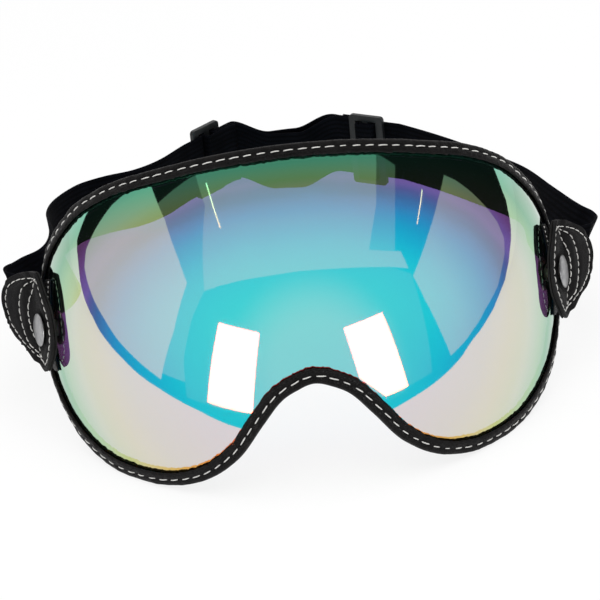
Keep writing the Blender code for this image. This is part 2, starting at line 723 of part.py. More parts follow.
def sewn_places():
    """A band's sewn end: in beside the woven band, round the middle bar and back to its tail."""
    near = OVER_LEVEL
    far = near + STRAP_THICKNESS + GAP
    corner = WEAVE_CORNER
    return [(LOOP_LINE + corner, -near), (LOOP_LINE, corner - near),
            (LOOP_LINE, UNDER_LEVEL - corner), (LOOP_LINE - corner / 3, UNDER_LEVEL - corner / 3),
            (LOOP_LINE - corner, UNDER_LEVEL),
            (corner - LOOP_LINE, UNDER_LEVEL), (corner / 3 - LOOP_LINE, UNDER_LEVEL - corner / 3),
            (-LOOP_LINE, UNDER_LEVEL - corner),
            (-LOOP_LINE, corner - far), (corner / 3 - LOOP_LINE, corner / 3 - far),
            (corner - LOOP_LINE, -far), (SEWN_TAIL, -far)]


def back_line(start, start_way, end, end_way, bulge, outward):
    """The run between the sliders: leaves one along its way, meets the other, and bows out by its slack."""
    reach = np.linalg.norm(end - start) * BACK_PULL_SHARE
    line = []
    for step in range(1, BACK_STEPS):
        t = step / BACK_STEPS
        point = ((2 * t**3 - 3 * t**2 + 1) * start + (t**3 - 2 * t**2 + t) * start_way * reach
                 + (3 * t**2 - 2 * t**3) * end - (t**3 - t**2) * end_way * reach)
        line.append(point + outward * bulge * math.sin(HALF_TURN * t**BACK_BULGE_POWER) ** 2)
    return line


def strap_line(side, route_shares):
    """The whole middle line of one band in plan, from inside its tab to its sewn tail."""
    core = (CORE_BASE + CORE_TOP) / 2
    count = math.ceil((STRAP_LEAVES_LEAF - STRAP_START) / STRAP_STEP) + 1
    in_leaf = []
    for along in np.linspace(STRAP_START, STRAP_LEAVES_LEAF, count):
        in_leaf.append(mirrored(leaf_plan(along, core), side)[:2])
    route = []
    for across_share, back_share in route_shares:
        route.append(np.array([side * LOOP_HALF_WIDTH * across_share, LOOP_DEPTH * back_share]))
    entry = slider_line(side, [(-STRAIGHT_RUN, -UNDER_LEVEL), (-SLIDER_HALF_LENGTH, -UNDER_LEVEL)])
    free = smooth_line([in_leaf[-2], in_leaf[-1]] + route + entry, ROUTE_STEPS)
    free = free[ROUTE_STEPS:-ROUTE_STEPS]
    length = sum(np.linalg.norm(b - a) for a, b in zip(free, free[1:]))
    free = list(spaced(free, round(length / STRAP_STEP)))
    weave = slider_line(side, weave_places() + [(STRAIGHT_RUN, -UNDER_LEVEL)])
    far_start = slider_line(-side, [(STRAIGHT_RUN, -OVER_LEVEL)])[0]
    way = slider_plan(side)[1]
    far_way = slider_plan(-side)[1]
    slack = BACK_SLACK if side < 0 else 0.0
    middle = back_line(weave[-1], way, far_start, far_way, slack, np.array([0.0, 1.0]))
    sewn = [far_start] + slider_line(-side, sewn_places())
    return in_leaf[:-1] + free + weave + middle + sewn


def build_strap(side, tag, parent, route_shares):
    line = np.array(strap_line(side, route_shares))
    along = np.diff(line, axis=0)
    along /= np.linalg.norm(along, axis=1)[:, None]
    vertices = []
    for station, (across, back) in enumerate(line):
        before = along[max(station - 1, 0)]
        after = along[min(station, len(along) - 1)]
        way = before + after
        way /= np.linalg.norm(way)
        stretch = 1 / max(float(np.dot(way, after)), MITRE_LIMIT_SHARE)
        offset = np.array([-way[1], way[0]]) * STRAP_THICKNESS / 2 * stretch
        for across_side, level in ((1, STRAP_WIDTH / 2), (1, -STRAP_WIDTH / 2), (-1, -STRAP_WIDTH / 2),
                                   (-1, STRAP_WIDTH / 2)):
            point = strap_place(side, across + offset[0] * across_side, back + offset[1] * across_side, level)
            vertices.append(point - np.array(parent.location))
    faces = [(0, 1, 2, 3), tuple(len(vertices) - 1 - corner for corner in range(4))]
    for station in range(len(line) - 1):
        for corner in range(4):
            ahead = (corner + 1) % 4
            first = station * 4
            faces.append((first + corner, first + ahead, first + 4 + ahead, first + 4 + corner))
    return add_piece("strap_" + tag, vertices, faces, ELASTIC, parent)


def box_shape(low, high):
    corners = [(x, y, z) for x in (low[0], high[0]) for y in (low[1], high[1]) for z in (low[2], high[2])]
    faces = [(0, 1, 3, 2), (4, 6, 7, 5), (0, 4, 5, 1), (2, 3, 7, 6), (0, 2, 6, 4), (1, 5, 7, 3)]
    return corners, faces


def build_slider(side, tag, parent):
    """A moulded plate with two slots, X along the strap, Y across it and Z to its open side."""
    centre, along, facing = slider_plan(side)
    origin = strap_place(side, *centre, 0.0)
    along_3d = strap_place(side, *(centre + along * SLIDER_HALF_LENGTH), 0.0) - origin
    facing_3d = strap_place(side, *(centre + facing * SLIDER_HALF_LENGTH), 0.0) - origin
    along_3d /= np.linalg.norm(along_3d)
    facing_3d /= np.linalg.norm(facing_3d)
    across_3d = np.cross(facing_3d, along_3d)
    frame = Matrix.Identity(4)
    for row in range(3):
        frame[row][0] = along_3d[row]
        frame[row][1] = across_3d[row]
        frame[row][2] = facing_3d[row]
        frame[row][3] = origin[row]
    frame = in_parent(parent, frame)

    outline = []
    for turn_x, turn_y in ((1, 1), (-1, 1), (-1, -1), (1, -1)):
        start = math.atan2(turn_y, turn_x) - QUARTER_TURN / 2
        for step in range(SLIDER_CORNER_STEPS + 1):
            turn = start + QUARTER_TURN * step / SLIDER_CORNER_STEPS
            outline.append((turn_x * (SLIDER_HALF_LENGTH - SLIDER_CORNER) + SLIDER_CORNER * math.cos(turn),
                            turn_y * (SLIDER_HALF_HEIGHT - SLIDER_CORNER) + SLIDER_CORNER * math.sin(turn)))
    count = len(outline)
    vertices = [(x, y, z) for z in (-SLIDER_THICKNESS / 2, SLIDER_THICKNESS / 2) for x, y in outline]
    faces = [tuple(range(count)), tuple(range(count, 2 * count))]
    faces += [(i, (i + 1) % count, count + (i + 1) % count, count + i) for i in range(count)]
    slider = add_piece("slider_" + tag, vertices, faces, SLIDER_PLASTIC, parent, frame)
    bevel = slider.modifiers.new("rounded_edges", 'BEVEL')
    bevel.width = SLIDER_EDGE
    bevel.segments = 1
    bevel.limit_method = 'ANGLE'
    bevel.angle_limit = BEVEL_LIMIT

    corners, quads = [], []
    half_slot = STRAP_WIDTH / 2 + SLOT_SIDE_PLAY
    for way in (-1, 1):
        near, far = sorted((way * SLIDER_MIDDLE_BAR / 2, way * SLOT_EDGE))
        shape, shape_faces = box_shape((near, -half_slot, -CUT_OVERRUN), (far, half_slot, CUT_OVERRUN))
        quads += [tuple(len(corners) + index for index in face) for face in shape_faces]
        corners += shape
    cut(slider, add_piece("slots_" + tag, corners, quads, SLIDER_PLASTIC, parent, frame))
    return slider


# Standing it on the floor

def world_points(piece):
    return np.array([piece.matrix_world @ vertex.co for vertex in piece.data.vertices])


def leaned(points, lean):
    """The points after leaning the goggle back: their places towards the wearer and their heights."""
    back = points[:, 1] * math.cos(lean) + points[:, 2] * math.sin(lean)
    height = points[:, 2] * math.cos(lean) - points[:, 1] * math.sin(lean)
    return back, height


def stand_on_floor(goggle, pieces, front_foot, rear_foot):
    bpy.context.view_layer.update()
    front = world_points(front_foot)
    rear = world_points(rear_foot)
    low, high = 0.0, MOST_LEAN
    for _ in range(LEAN_TRIES):
        lean = (low + high) / 2
        if leaned(rear, lean)[1].min() > leaned(front, lean)[1].min():
            low = lean
        else:
            high = lean
    every = np.concatenate([world_points(piece) for piece in pieces])
    back, height = leaned(every, lean)
    goggle.rotation_euler = (-lean, 0.0, 0.0)
    goggle.location = (-(every[:, 0].min() + every[:, 0].max()) / 2, -(back.min() + back.max()) / 2,
                       -height.min() - FOOT_FLAT_DEPTH)
    corners, faces = box_shape((-FLOOR_SIZE, -FLOOR_SIZE, -FLOOR_SIZE), (FLOOR_SIZE, FLOOR_SIZE, 0.0))
    floor = add_piece("floor_flats", corners, faces, LEATHER, None)
    cut(front_foot, floor)
    cut(rear_foot, floor)
    bpy.context.view_layer.update()
    print("leans back", round(math.degrees(lean), 2), "degrees")


def main():
    clear_scene()
    goggle = add_empty("goggle", None, (0.0, 0.0, 0.0))
    shield = add_empty("shield_frame", goggle, (0.0, 0.0, 0.0))
    tab = add_empty("strap_pivot", goggle, (0.0, PIVOT_PLACE, 0.0))

    outline = rim_map()
    lens = build_lens(shield, outline)
    binding = build_binding(shield, outline)
    for side, tag in ((-1, "left"), (1, "right")):
        shank_hole = rivet_cutter("shank_hole_" + tag, side, SHANK_RADIUS + GAP, shield)
        cut(lens, shank_hole)
        cut(build_patch(side, tag, shield, outline), shank_hole)
        build_rivet(side, tag, shield, tab)
        build_leaf(side, tag, tab)
        build_slider(side, tag, tab)
    outer_band = build_strap(-1, "left", tab, LEFT_ROUTE_SHARES)
    build_strap(1, "right", tab, RIGHT_ROUTE_SHARES)

    pieces = [item for item in bpy.data.objects if item.type == 'MESH' and not item.hide_render]
    stand_on_floor(goggle, pieces, binding, outer_band)


main()
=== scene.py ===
# %% [markdown]
# # A bubble-shield riding goggle
# This lesson dresses a finished frame of solids. The frame holds the goggle's lens, leather, rivets,
# strap and sliders at their real sizes, in metres. Here each visible surface gets its real form and
# finish: a mirror-coated lens, sewn leather, woven elastic and satin metal.
# Loading the frame comes first, because most pieces made later ride on one of its moving bodies.

# %% Load the imported frame
import json
import math

import bmesh
import bpy
import numpy as np
from mathutils import Matrix, Vector

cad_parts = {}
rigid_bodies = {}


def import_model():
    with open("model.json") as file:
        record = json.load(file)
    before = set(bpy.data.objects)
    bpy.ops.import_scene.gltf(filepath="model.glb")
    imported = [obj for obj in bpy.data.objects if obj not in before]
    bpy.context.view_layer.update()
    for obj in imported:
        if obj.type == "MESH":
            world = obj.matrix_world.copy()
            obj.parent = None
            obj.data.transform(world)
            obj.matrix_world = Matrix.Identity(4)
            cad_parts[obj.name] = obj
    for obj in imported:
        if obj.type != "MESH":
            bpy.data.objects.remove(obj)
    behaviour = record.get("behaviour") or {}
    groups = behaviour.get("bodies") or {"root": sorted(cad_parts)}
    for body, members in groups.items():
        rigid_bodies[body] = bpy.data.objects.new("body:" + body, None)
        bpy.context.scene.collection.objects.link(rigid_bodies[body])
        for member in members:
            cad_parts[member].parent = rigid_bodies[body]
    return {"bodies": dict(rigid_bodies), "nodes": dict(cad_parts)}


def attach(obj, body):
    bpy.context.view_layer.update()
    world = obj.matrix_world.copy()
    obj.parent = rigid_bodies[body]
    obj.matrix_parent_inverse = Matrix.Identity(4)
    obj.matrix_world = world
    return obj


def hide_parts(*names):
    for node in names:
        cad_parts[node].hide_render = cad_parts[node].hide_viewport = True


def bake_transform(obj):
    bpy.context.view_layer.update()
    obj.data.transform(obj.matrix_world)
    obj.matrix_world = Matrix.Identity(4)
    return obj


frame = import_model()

nodes = frame["nodes"]
keep = set(nodes.values()) | set(frame["bodies"].values())
for item in list(bpy.data.objects):
    if item not in keep:
        bpy.data.objects.remove(item, do_unlink=True)
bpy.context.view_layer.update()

# %% [markdown]
# ## The goggle's own axes
# The goggle leans back on its strap, but its parts are easier to describe as if it were worn:
# X to the side, Y towards the wearer, Z up, and the origin midway between the two rivets.
# One turn and one shift then carry any point into the frame's world.

# %% From the goggle's axes to the world
LEAN = math.radians(28.58784)
ORIGIN = np.array([-0.001362, -0.063346, 0.046078])
LEAN_TURN = np.array([
    [1.0, 0.0, 0.0],
    [0.0, math.cos(LEAN), math.sin(LEAN)],
    [0.0, -math.sin(LEAN), math.cos(LEAN)],
])
HALF_TURN = math.pi
QUARTER_TURN = math.pi / 2
FULL_TURN = math.tau
UPWARD = np.array([0.0, 0.0, 1.0])


def to_world(points):
    return np.asarray(points, float) @ LEAN_TURN.T + ORIGIN


def way_to_world(ways):
    return np.asarray(ways, float) @ LEAN_TURN.T


def unit(ways):
    ways = np.asarray(ways, float)
    return ways / np.linalg.norm(ways, axis=-1, keepdims=True)


print("lean in degrees:", round(math.degrees(LEAN), 2))

# %% [markdown]
# ## Small tools for meshes
# Most pieces are grids of points, some closed round one way like a hose. One helper joins a grid into
# faces and another turns points and faces into an object that sits at the origin, with its place in
# its mesh. Unevenness comes from a sum of slow waves with a fixed seed, so every run gives the same skin.

# %% Grids, pieces and waves


def grid_faces(rows, columns, close_rows=False, close_columns=False, first=0):
    faces = []
    for row in range(rows if close_rows else rows - 1):
        for column in range(columns if close_columns else columns - 1):
            next_row = (row + 1) % rows
            next_column = (column + 1) % columns
            faces.append((
                first + row * columns + column, first + row * columns + next_column,
                first + next_row * columns + next_column, first + next_row * columns + column,
            ))
    return faces


def add_object(name, data):
    item = bpy.data.objects.new(name, data)
    bpy.context.scene.collection.objects.link(item)
    return item


def finished_mesh(item):
    """What an object's modifiers make of it, as a plain mesh."""
    depsgraph = bpy.context.evaluated_depsgraph_get()
    return bpy.data.meshes.new_from_object(item.evaluated_get(depsgraph), depsgraph=depsgraph)


def add_piece(name, points, faces, material):
    """A piece with its faces turned outwards."""
    mesh = bpy.data.meshes.new(name)
    mesh.from_pydata(np.asarray(points, float).tolist(), [], faces)
    work = bmesh.new()
    work.from_mesh(mesh)
    bmesh.ops.recalc_face_normals(work, faces=work.faces)
    work.to_mesh(mesh)
    work.free()
    mesh.materials.append(material)
    mesh.shade_smooth()
    return add_object(name, mesh)


def waves(points, size, seed, count=14):
    """Smooth unevenness between about -1 and 1, with bumps of roughly the given size."""
    draw = np.random.default_rng(seed)
    ways = unit(draw.normal(size=(count, 3)))
    pitches = draw.uniform(0.6, 1.6, count) * FULL_TURN / size / 2
    starts = draw.uniform(0.0, FULL_TURN, count)
    points = np.asarray(points, float)
    return np.sin(points @ (ways * pitches[:, None]).T + starts).sum(-1) / math.sqrt(count)


def ramp(value, start, length):
    share = np.clip((np.asarray(value, float) - start) / length, 0.0, 1.0)
    return share * share * (3 - 2 * share)


def hermite(t, start, slope_start, end, slope_end):
    """A place on the curve that leaves the start and reaches the end along their slopes."""
    return ((2 * t**3 - 3 * t**2 + 1) * start + (t**3 - 2 * t**2 + t) * slope_start
            + (3 * t**2 - 2 * t**3) * end + (t**3 - t**2) * slope_end)


def smooth_line(points, steps, closed=False):
    """Points along a smooth curve through the given points."""
    knots = [np.array(point, float) for point in points]
    count = len(knots)
    if closed:
        knots = [knots[-1]] + knots + knots[:2]
    else:
        knots = [2 * knots[0] - knots[1]] + knots + [2 * knots[-1] - knots[-2]]
    line = []
    for span in range(count if closed else count - 1):
        before, start, end, after = knots[span:span + 4]
        lead = np.linalg.norm(start - before)
        length = np.linalg.norm(end - start)
        trail = np.linalg.norm(after - end)
        slope_start = (end - before) / (lead + length) * length
        slope_end = (after - start) / (length + trail) * length
        line += [hermite(step / steps, start, slope_start, end, slope_end) for step in range(steps)]
    if not closed:
        line.append(knots[-2])
    return line


def run_along(points):
    """How far along a line each of its points lies."""
    return np.concatenate([[0.0], np.cumsum(np.linalg.norm(np.diff(points, axis=0), axis=1))])


def spaced(line, count):
    """The same open line with evenly spaced points."""
    points = np.array(line)
    along = run_along(points)
    wanted = np.linspace(0.0, along[-1], count)
    return np.stack([np.interp(wanted, along, points[:, axis]) for axis in range(points.shape[1])], axis=1)


print("mesh tools ready")

# %% [markdown]
# ## Shader tools
# Materials are built from nodes. Three effects come back in several of them, so each is a node group
# made once: pebbled leather grain, soft blotches of tone, and a woven rib for elastic. Every group gives
# out a height or a mask, and the shader itself stays in the material.

# %% Shader helpers


def fill(tree, node, values):
    """Set a node's inputs, by name or place, to values or to the outputs of other nodes."""
    for key, value in values.items():
        if isinstance(value, bpy.types.NodeSocket):
            tree.links.new(value, node.inputs[key])
        else:
            node.inputs[key].default_value = value
    return node


def put(tree, kind, values=None, **settings):
    """Add a node with its settings and the values of its inputs."""
    node = tree.nodes.new(kind)
    for setting, value in settings.items():
        setattr(node, setting, value)
    return fill(tree, node, values or {})


def calc(tree, operation, *values, clamp=False):
    """The result of one Math node."""
    return put(tree, "ShaderNodeMath", dict(enumerate(values)), operation=operation, use_clamp=clamp).outputs[0]


def carry(tree, value, start, end, low=0.0, high=1.0, way="LINEAR"):
    """A value carried from one range to another."""
    return put(tree, "ShaderNodeMapRange", {"Value": value, "From Min": start, "From Max": end, "To Min": low,
                                            "To Max": high}, interpolation_type=way).outputs["Result"]


def noise(tree, place, scale, detail=2.0, rough=0.5):
    return put(tree, "ShaderNodeTexNoise", {"Vector": place, "Scale": scale, "Detail": detail,
                                            "Roughness": rough}).outputs


def bump(tree, height, strength, distance):
    return put(tree, "ShaderNodeBump", {"Height": height, "Strength": strength, "Distance": distance}).outputs[0]


def mix_colours(tree, share, first, second, blend="MIX"):
    """A colour between two colours, each a socket or its red, green and blue."""
    first, second = (item if isinstance(item, bpy.types.NodeSocket) else (*item, 1.0) for item in (first, second))
    return put(tree, "ShaderNodeMix", {0: share, 6: first, 7: second}, data_type="RGBA", blend_type=blend).outputs[2]


def ramp_node(tree, source, stops):
    """A colour ramp from (place, colour) pairs."""
    node = put(tree, "ShaderNodeValToRGB", {"Fac": source})
    elements = node.color_ramp.elements
    elements.remove(elements[-1])
    elements[0].position = stops[0][0]
    elements[0].color = (*stops[0][1], 1.0)
    for place, colour in stops[1:]:
        elements.new(place).color = (*colour, 1.0)
    return node.outputs["Color"]


def new_group(name, inputs, outputs):
    """A node group. Its inputs are numbers with a default, or a vector where that is None."""
    tree = bpy.data.node_groups.new(name, "ShaderNodeTree")
    for label, value in inputs.items():
        kind = "NodeSocketVector" if value is None else "NodeSocketFloat"
        socket = tree.interface.new_socket(label, in_out="INPUT", socket_type=kind)
        if value is not None:
            socket.default_value = value
    for label in outputs:
        tree.interface.new_socket(label, in_out="OUTPUT", socket_type="NodeSocketFloat")
    return tree, tree.nodes.new("NodeGroupInput").outputs, tree.nodes.new("NodeGroupOutput")


def use_group(tree, group, values):
    return put(tree, "ShaderNodeGroup", values, node_tree=group).outputs


def new_material(name):
    """An empty material, its tree, and its Object coordinates."""
    material = bpy.data.materials.new(name)
    material.use_nodes = True
    tree = material.node_tree
    tree.nodes.clear()
    return material, tree, put(tree, "ShaderNodeTexCoord").outputs["Object"]


def principled(tree, values):
    return put(tree, "ShaderNodeBsdfPrincipled", values).outputs["BSDF"]


def show(tree, surface):
    put(tree, "ShaderNodeOutputMaterial", {"Surface": surface})


print("shader tools ready")

# %% Node group: pebbled leather grain
grain, entry, result = new_group("pebbled_grain", {"Vector": None, "Pebble Size": 0.0012, "Crease Size": 0.006},
                                 ("Height", "Creases"))
pebble_scale = calc(grain, "DIVIDE", 1.0, entry["Pebble Size"])
drift = noise(grain, entry["Vector"], calc(grain, "DIVIDE", 1.0, entry["Crease Size"]), 3.0)
bend = put(grain, "ShaderNodeVectorMath", {0: drift["Color"], "Scale": 0.0016}, operation="SCALE")
bent = put(grain, "ShaderNodeVectorMath", {0: entry["Vector"], 1: bend.outputs[0]}, operation="ADD")
cells = put(grain, "ShaderNodeTexVoronoi", {"Vector": bent.outputs[0], "Scale": pebble_scale},
            feature="DISTANCE_TO_EDGE")
plateau = carry(grain, cells.outputs["Distance"], 0.0, 0.22, way="SMOOTHSTEP")
fine = noise(grain, entry["Vector"], pebble_scale, 4.0, 0.65)
pebbles = calc(grain, "MULTIPLY_ADD", fine["Fac"], 0.35, plateau)
fill(grain, result, {"Height": calc(grain, "MULTIPLY_ADD", drift["Fac"], 0.9, pebbles),
                     "Creases": calc(grain, "SUBTRACT", 1.0, plateau)})
print("nodes in the grain:", len(grain.nodes))

# %% Node group: blotches of tone
blotch, entry, result = new_group("tone_blotches", {"Vector": None, "Blotch Size": 0.01, "Low": 0.0, "High": 1.0},
                                  ("Mask",))
cloud = noise(blotch, entry["Vector"], calc(blotch, "DIVIDE", 1.0, entry["Blotch Size"]), 5.0, 0.6)
fill(blotch, result, {"Mask": carry(blotch, cloud["Fac"], 0.3, 0.7, entry["Low"], entry["High"])})
print("nodes in the blotches:", len(blotch.nodes))

# %% Node group: woven ribs
weave, entry, result = new_group(
    "woven_ribs", {"Along": 0.0, "Across": 0.0, "Rib Pitch": 0.001, "Pick Pitch": 0.0007}, ("Height", "Gaps"))
ribs = calc(weave, "DIVIDE", entry["Across"], entry["Rib Pitch"])
picks = calc(weave, "DIVIDE", entry["Along"], entry["Pick Pitch"])
stagger = calc(weave, "MULTIPLY_ADD", calc(weave, "FLOOR", ribs), 0.5, picks)
woven = calc(weave, "MULTIPLY", calc(weave, "PINGPONG", ribs, 1.0), calc(weave, "PINGPONG", stagger, 0.5))
woven = calc(weave, "MULTIPLY", woven, 2.0)
fill(weave, result, {"Height": woven, "Gaps": carry(weave, woven, 0.0, 0.35, 1.0, 0.0)})
print("shader groups:", [group.name for group in bpy.data.node_groups])

# %% [markdown]
# ## Leather, thread, elastic, plastic and metal
# The black leather is a coated hide: pebbled, a little shiny on the pebbles and duller in the creases,
# with its convex edges lightened to a dark grey. The veins and borders are sewn in thick white thread. The strap
# is a tight black elastic weave that drinks the light, the sliders are plain moulded plastic, and the
# rivets are nickel brushed to a satin. Patterns use Object coordinates, which are metres here.

# %% Leather


def leather(name, dark, pale, pebble, depth, low_rough, high_rough, shine):
    material, tree, place = new_material(name)
    hide = use_group(tree, grain, {"Vector": place, "Pebble Size": pebble})
    tone = use_group(tree, blotch, {"Vector": place, "Blotch Size": 0.007})["Mask"]
    # Convex edges, found by Pointiness, are made lighter in the base colour, together with random tone blotches.
    convex_edges = put(tree, "ShaderNodeNewGeometry").outputs["Pointiness"]
    share = calc(tree, "MULTIPLY_ADD", carry(tree, convex_edges, 0.505, 0.56), 0.7, calc(tree, "MULTIPLY", tone, 0.45),
                 clamp=True)
    show(tree, principled(tree, {
        "Base Color": mix_colours(tree, share, dark, pale),
        "Roughness": carry(tree, hide["Creases"], 0.0, 1.0, low_rough, high_rough),
        "Normal": bump(tree, hide["Height"], 0.75, depth), "Specular IOR Level": shine}))
    return material


binding_leather = leather("binding_leather", (0.0020, 0.0019, 0.0020), (0.014, 0.012, 0.012), 0.0008, 0.0004,
                          0.34, 0.60, 0.14)
leaf_leather = leather("leaf_leather", (0.0055, 0.0052, 0.0057), (0.022, 0.021, 0.022), 0.0006, 0.00022,
                       0.50, 0.75, 0.16)
inner_leather = leather("inner_leather", (0.009, 0.009, 0.009), (0.028, 0.027, 0.026), 0.0006, 0.00012,
                        0.75, 0.90, 0.15)
print("leathers:", [hide.name for hide in (binding_leather, leaf_leather, inner_leather)])

# %% Thread
thread, tree, place = new_material("white_thread")
ply = noise(tree, place, 2600.0)["Fac"]
show(tree, principled(tree, {
    "Base Color": ramp_node(tree, ply, [(0.3, (0.60, 0.59, 0.56)), (0.65, (0.90, 0.89, 0.86))]),
    "Normal": bump(tree, ply, 0.5, 0.0002), "Roughness": 0.72, "Sheen Weight": 0.15}))
print("nodes in the thread:", len(tree.nodes))

# %% Elastic
elastic, tree, place = new_material("black_elastic_weave")
weave_map = put(tree, "ShaderNodeUVMap", uv_map="weave").outputs["UV"]
split = put(tree, "ShaderNodeSeparateXYZ", {"Vector": weave_map}).outputs
woven = use_group(tree, weave, {"Along": split["X"], "Across": split["Y"], "Rib Pitch": 0.0011,
                                "Pick Pitch": 0.0008})
tone = use_group(tree, blotch, {"Vector": place, "Blotch Size": 0.012})["Mask"]
threads = ramp_node(tree, tone, [(0.1, (0.0012, 0.0014, 0.0026)), (0.9, (0.0036, 0.0040, 0.0066))])
# The gaps between the woven ribs are given a darker colour: painted shade in the weave's hollows.
show(tree, principled(tree, {
    "Base Color": mix_colours(tree, woven["Gaps"], threads, (0.0004, 0.0004, 0.0007)),
    "Normal": bump(tree, woven["Height"], 0.6, 0.00015), "Roughness": 0.88, "Specular IOR Level": 0.05}))
print("nodes in the elastic:", len(tree.nodes))

# %% Plastic and metal
acetal, tree, place = new_material("black_acetal_moulding")
tone = use_group(tree, blotch, {"Vector": place, "Blotch Size": 0.004})["Mask"]
show(tree, principled(tree, {
    "Base Color": ramp_node(tree, tone, [(0.2, (0.009, 0.010, 0.011)), (0.9, (0.018, 0.019, 0.020))]),
    "Roughness": carry(tree, tone, 0.0, 1.0, 0.34, 0.48),
    "Normal": bump(tree, noise(tree, place, 2400.0)["Fac"], 0.25, 0.0001), "Specular IOR Level": 0.3}))


def metal(name, dark, pale, low_rough, high_rough):
    material, tree, place = new_material(name)
    tone = use_group(tree, blotch, {"Vector": place, "Blotch Size": 0.003})["Mask"]
    brushed = noise(tree, place, 3200.0)["Fac"]
    show(tree, principled(tree, {
        "Base Color": ramp_node(tree, tone, [(0.2, dark), (0.8, pale)]),
        "Roughness": carry(tree, brushed, 0.0, 1.0, low_rough, high_rough),
        "Normal": bump(tree, brushed, 0.15, 0.00005), "Metallic": 1.0}))
    return material


satin_nickel = metal("satin_nickel", (0.30, 0.30, 0.31), (0.42, 0.42, 0.42), 0.32, 0.48)
warm_metal = metal("flange_metal", (0.50, 0.42, 0.34), (0.66, 0.60, 0.52), 0.22, 0.36)
print("other finishes:", [finish.name for finish in (acetal, satin_nickel, warm_metal)])

# %% [markdown]
# ## The mirror-coated lens
# The lens is clear plastic with a thin mirror coat that sends some colours back and lets the others
# through. Seen straight on it mirrors red and passes cyan. At a slant, and near the top where the coat
# is thicker, it mirrors yellow then green, and passes blue then purple. One colour ramp holds what is
# let through and another holds both together, so what is mirrored is the difference. They are read at
# the slant, from Layer Weight, plus the coat's thickness, which grows with height on the lens. Where the
# coat is thickest, its mirror also loses most of its red.

# %% The lens finish
COAT_PASSES = [
    (0.00, (0.010, 0.690, 0.690)), (0.05, (0.010, 0.640, 0.690)), (0.10, (0.008, 0.590, 0.690)),
    (0.14, (0.005, 0.520, 0.675)), (0.18, (0.004, 0.430, 0.645)), (0.22, (0.006, 0.355, 0.600)),
    (0.26, (0.015, 0.275, 0.560)), (0.30, (0.035, 0.200, 0.470)), (0.34, (0.045, 0.135, 0.350)),
    (0.38, (0.080, 0.100, 0.310)), (0.42, (0.150, 0.100, 0.350)), (0.47, (0.135, 0.075, 0.290)),
    (0.52, (0.125, 0.050, 0.200)), (0.60, (0.090, 0.030, 0.110)), (0.70, (0.060, 0.030, 0.060)),
    (0.85, (0.020, 0.020, 0.020)), (1.00, (0.010, 0.010, 0.010)),
]
COAT_SUMS = [
    (0.00, (0.675, 0.720, 0.725)), (0.10, (0.670, 0.690, 0.720)), (0.25, (0.665, 0.670, 0.660)),
    (0.30, (0.680, 0.670, 0.625)), (0.35, (0.680, 0.665, 0.585)), (0.42, (0.660, 0.665, 0.575)),
    (0.47, (0.640, 0.665, 0.590)), (0.52, (0.580, 0.650, 0.565)), (0.60, (0.480, 0.620, 0.490)),
    (0.70, (0.330, 0.530, 0.410)), (0.85, (0.400, 0.550, 0.450)), (1.00, (0.800, 0.800, 0.800)),
]
COAT_START = -0.010
COAT_GROWTH = 110.0
THICK_TINT = (0.36, 1.15, 1.13)

mirror_coat, tree, place = new_material("iridescent_mirror_coat")
split = put(tree, "ShaderNodeSeparateXYZ", {"Vector": place}).outputs
height = calc(tree, "MULTIPLY_ADD", split["Z"], math.cos(LEAN), calc(tree, "MULTIPLY", split["Y"], math.sin(LEAN)))
base = float(ORIGIN[1] * math.sin(LEAN) + ORIGIN[2] * math.cos(LEAN))
above = calc(tree, "SUBTRACT", height, base + COAT_START, clamp=True)
thick = calc(tree, "MULTIPLY", calc(tree, "MULTIPLY", above, above), COAT_GROWTH)
drift = use_group(tree, blotch, {"Vector": place, "Blotch Size": 0.05, "Low": -0.012, "High": 0.012})["Mask"]
slant = put(tree, "ShaderNodeLayerWeight", {"Blend": 0.5}).outputs["Facing"]
coat = calc(tree, "ADD", calc(tree, "ADD", slant, thick), drift, clamp=True)
passed = ramp_node(tree, coat, COAT_PASSES)
sent_back = mix_colours(tree, 1.0, ramp_node(tree, coat, COAT_SUMS), passed, "SUBTRACT")
mirrored_part = mix_colours(tree, carry(tree, thick, 0.20, 0.46), sent_back, THICK_TINT, "MULTIPLY")
mirror = principled(tree, {"Base Color": mirrored_part, "Metallic": 1.0, "Roughness": 0.035})
clear = put(tree, "ShaderNodeBsdfTransparent", {"Color": passed}).outputs[0]
show(tree, put(tree, "ShaderNodeAddShader", {0: clear, 1: mirror}).outputs[0])

clear_inside, tree, place = new_material("clear_polycarbonate")
slant = put(tree, "ShaderNodeLayerWeight", {"Blend": 0.5}).outputs["Facing"]
sheen = calc(tree, "MULTIPLY_ADD", calc(tree, "POWER", slant, 5.0), 0.7, 0.02, clamp=True)
haze = use_group(tree, blotch, {"Vector": place, "Blotch Size": 0.02, "Low": 0.03, "High": 0.08})["Mask"]
mirror = principled(tree, {"Base Color": (0.8, 0.8, 0.8, 1.0), "Metallic": 1.0, "Roughness": haze})
clear = put(tree, "ShaderNodeBsdfTransparent", {"Color": (0.97, 0.97, 0.97, 1.0)}).outputs[0]
show(tree, put(tree, "ShaderNodeMixShader", {0: sheen, 1: clear, 2: mirror}).outputs[0])
print("lens finishes made")

# %% [markdown]
# ## The bubble's shape
# The lens is cut from a shell like an egg: one half axis for each direction. A flat map of the egg,
# with reach measured as an angle from its foremost point, makes its outline easy to write down:
# a bearing from straight up, and how far the lens reaches there.

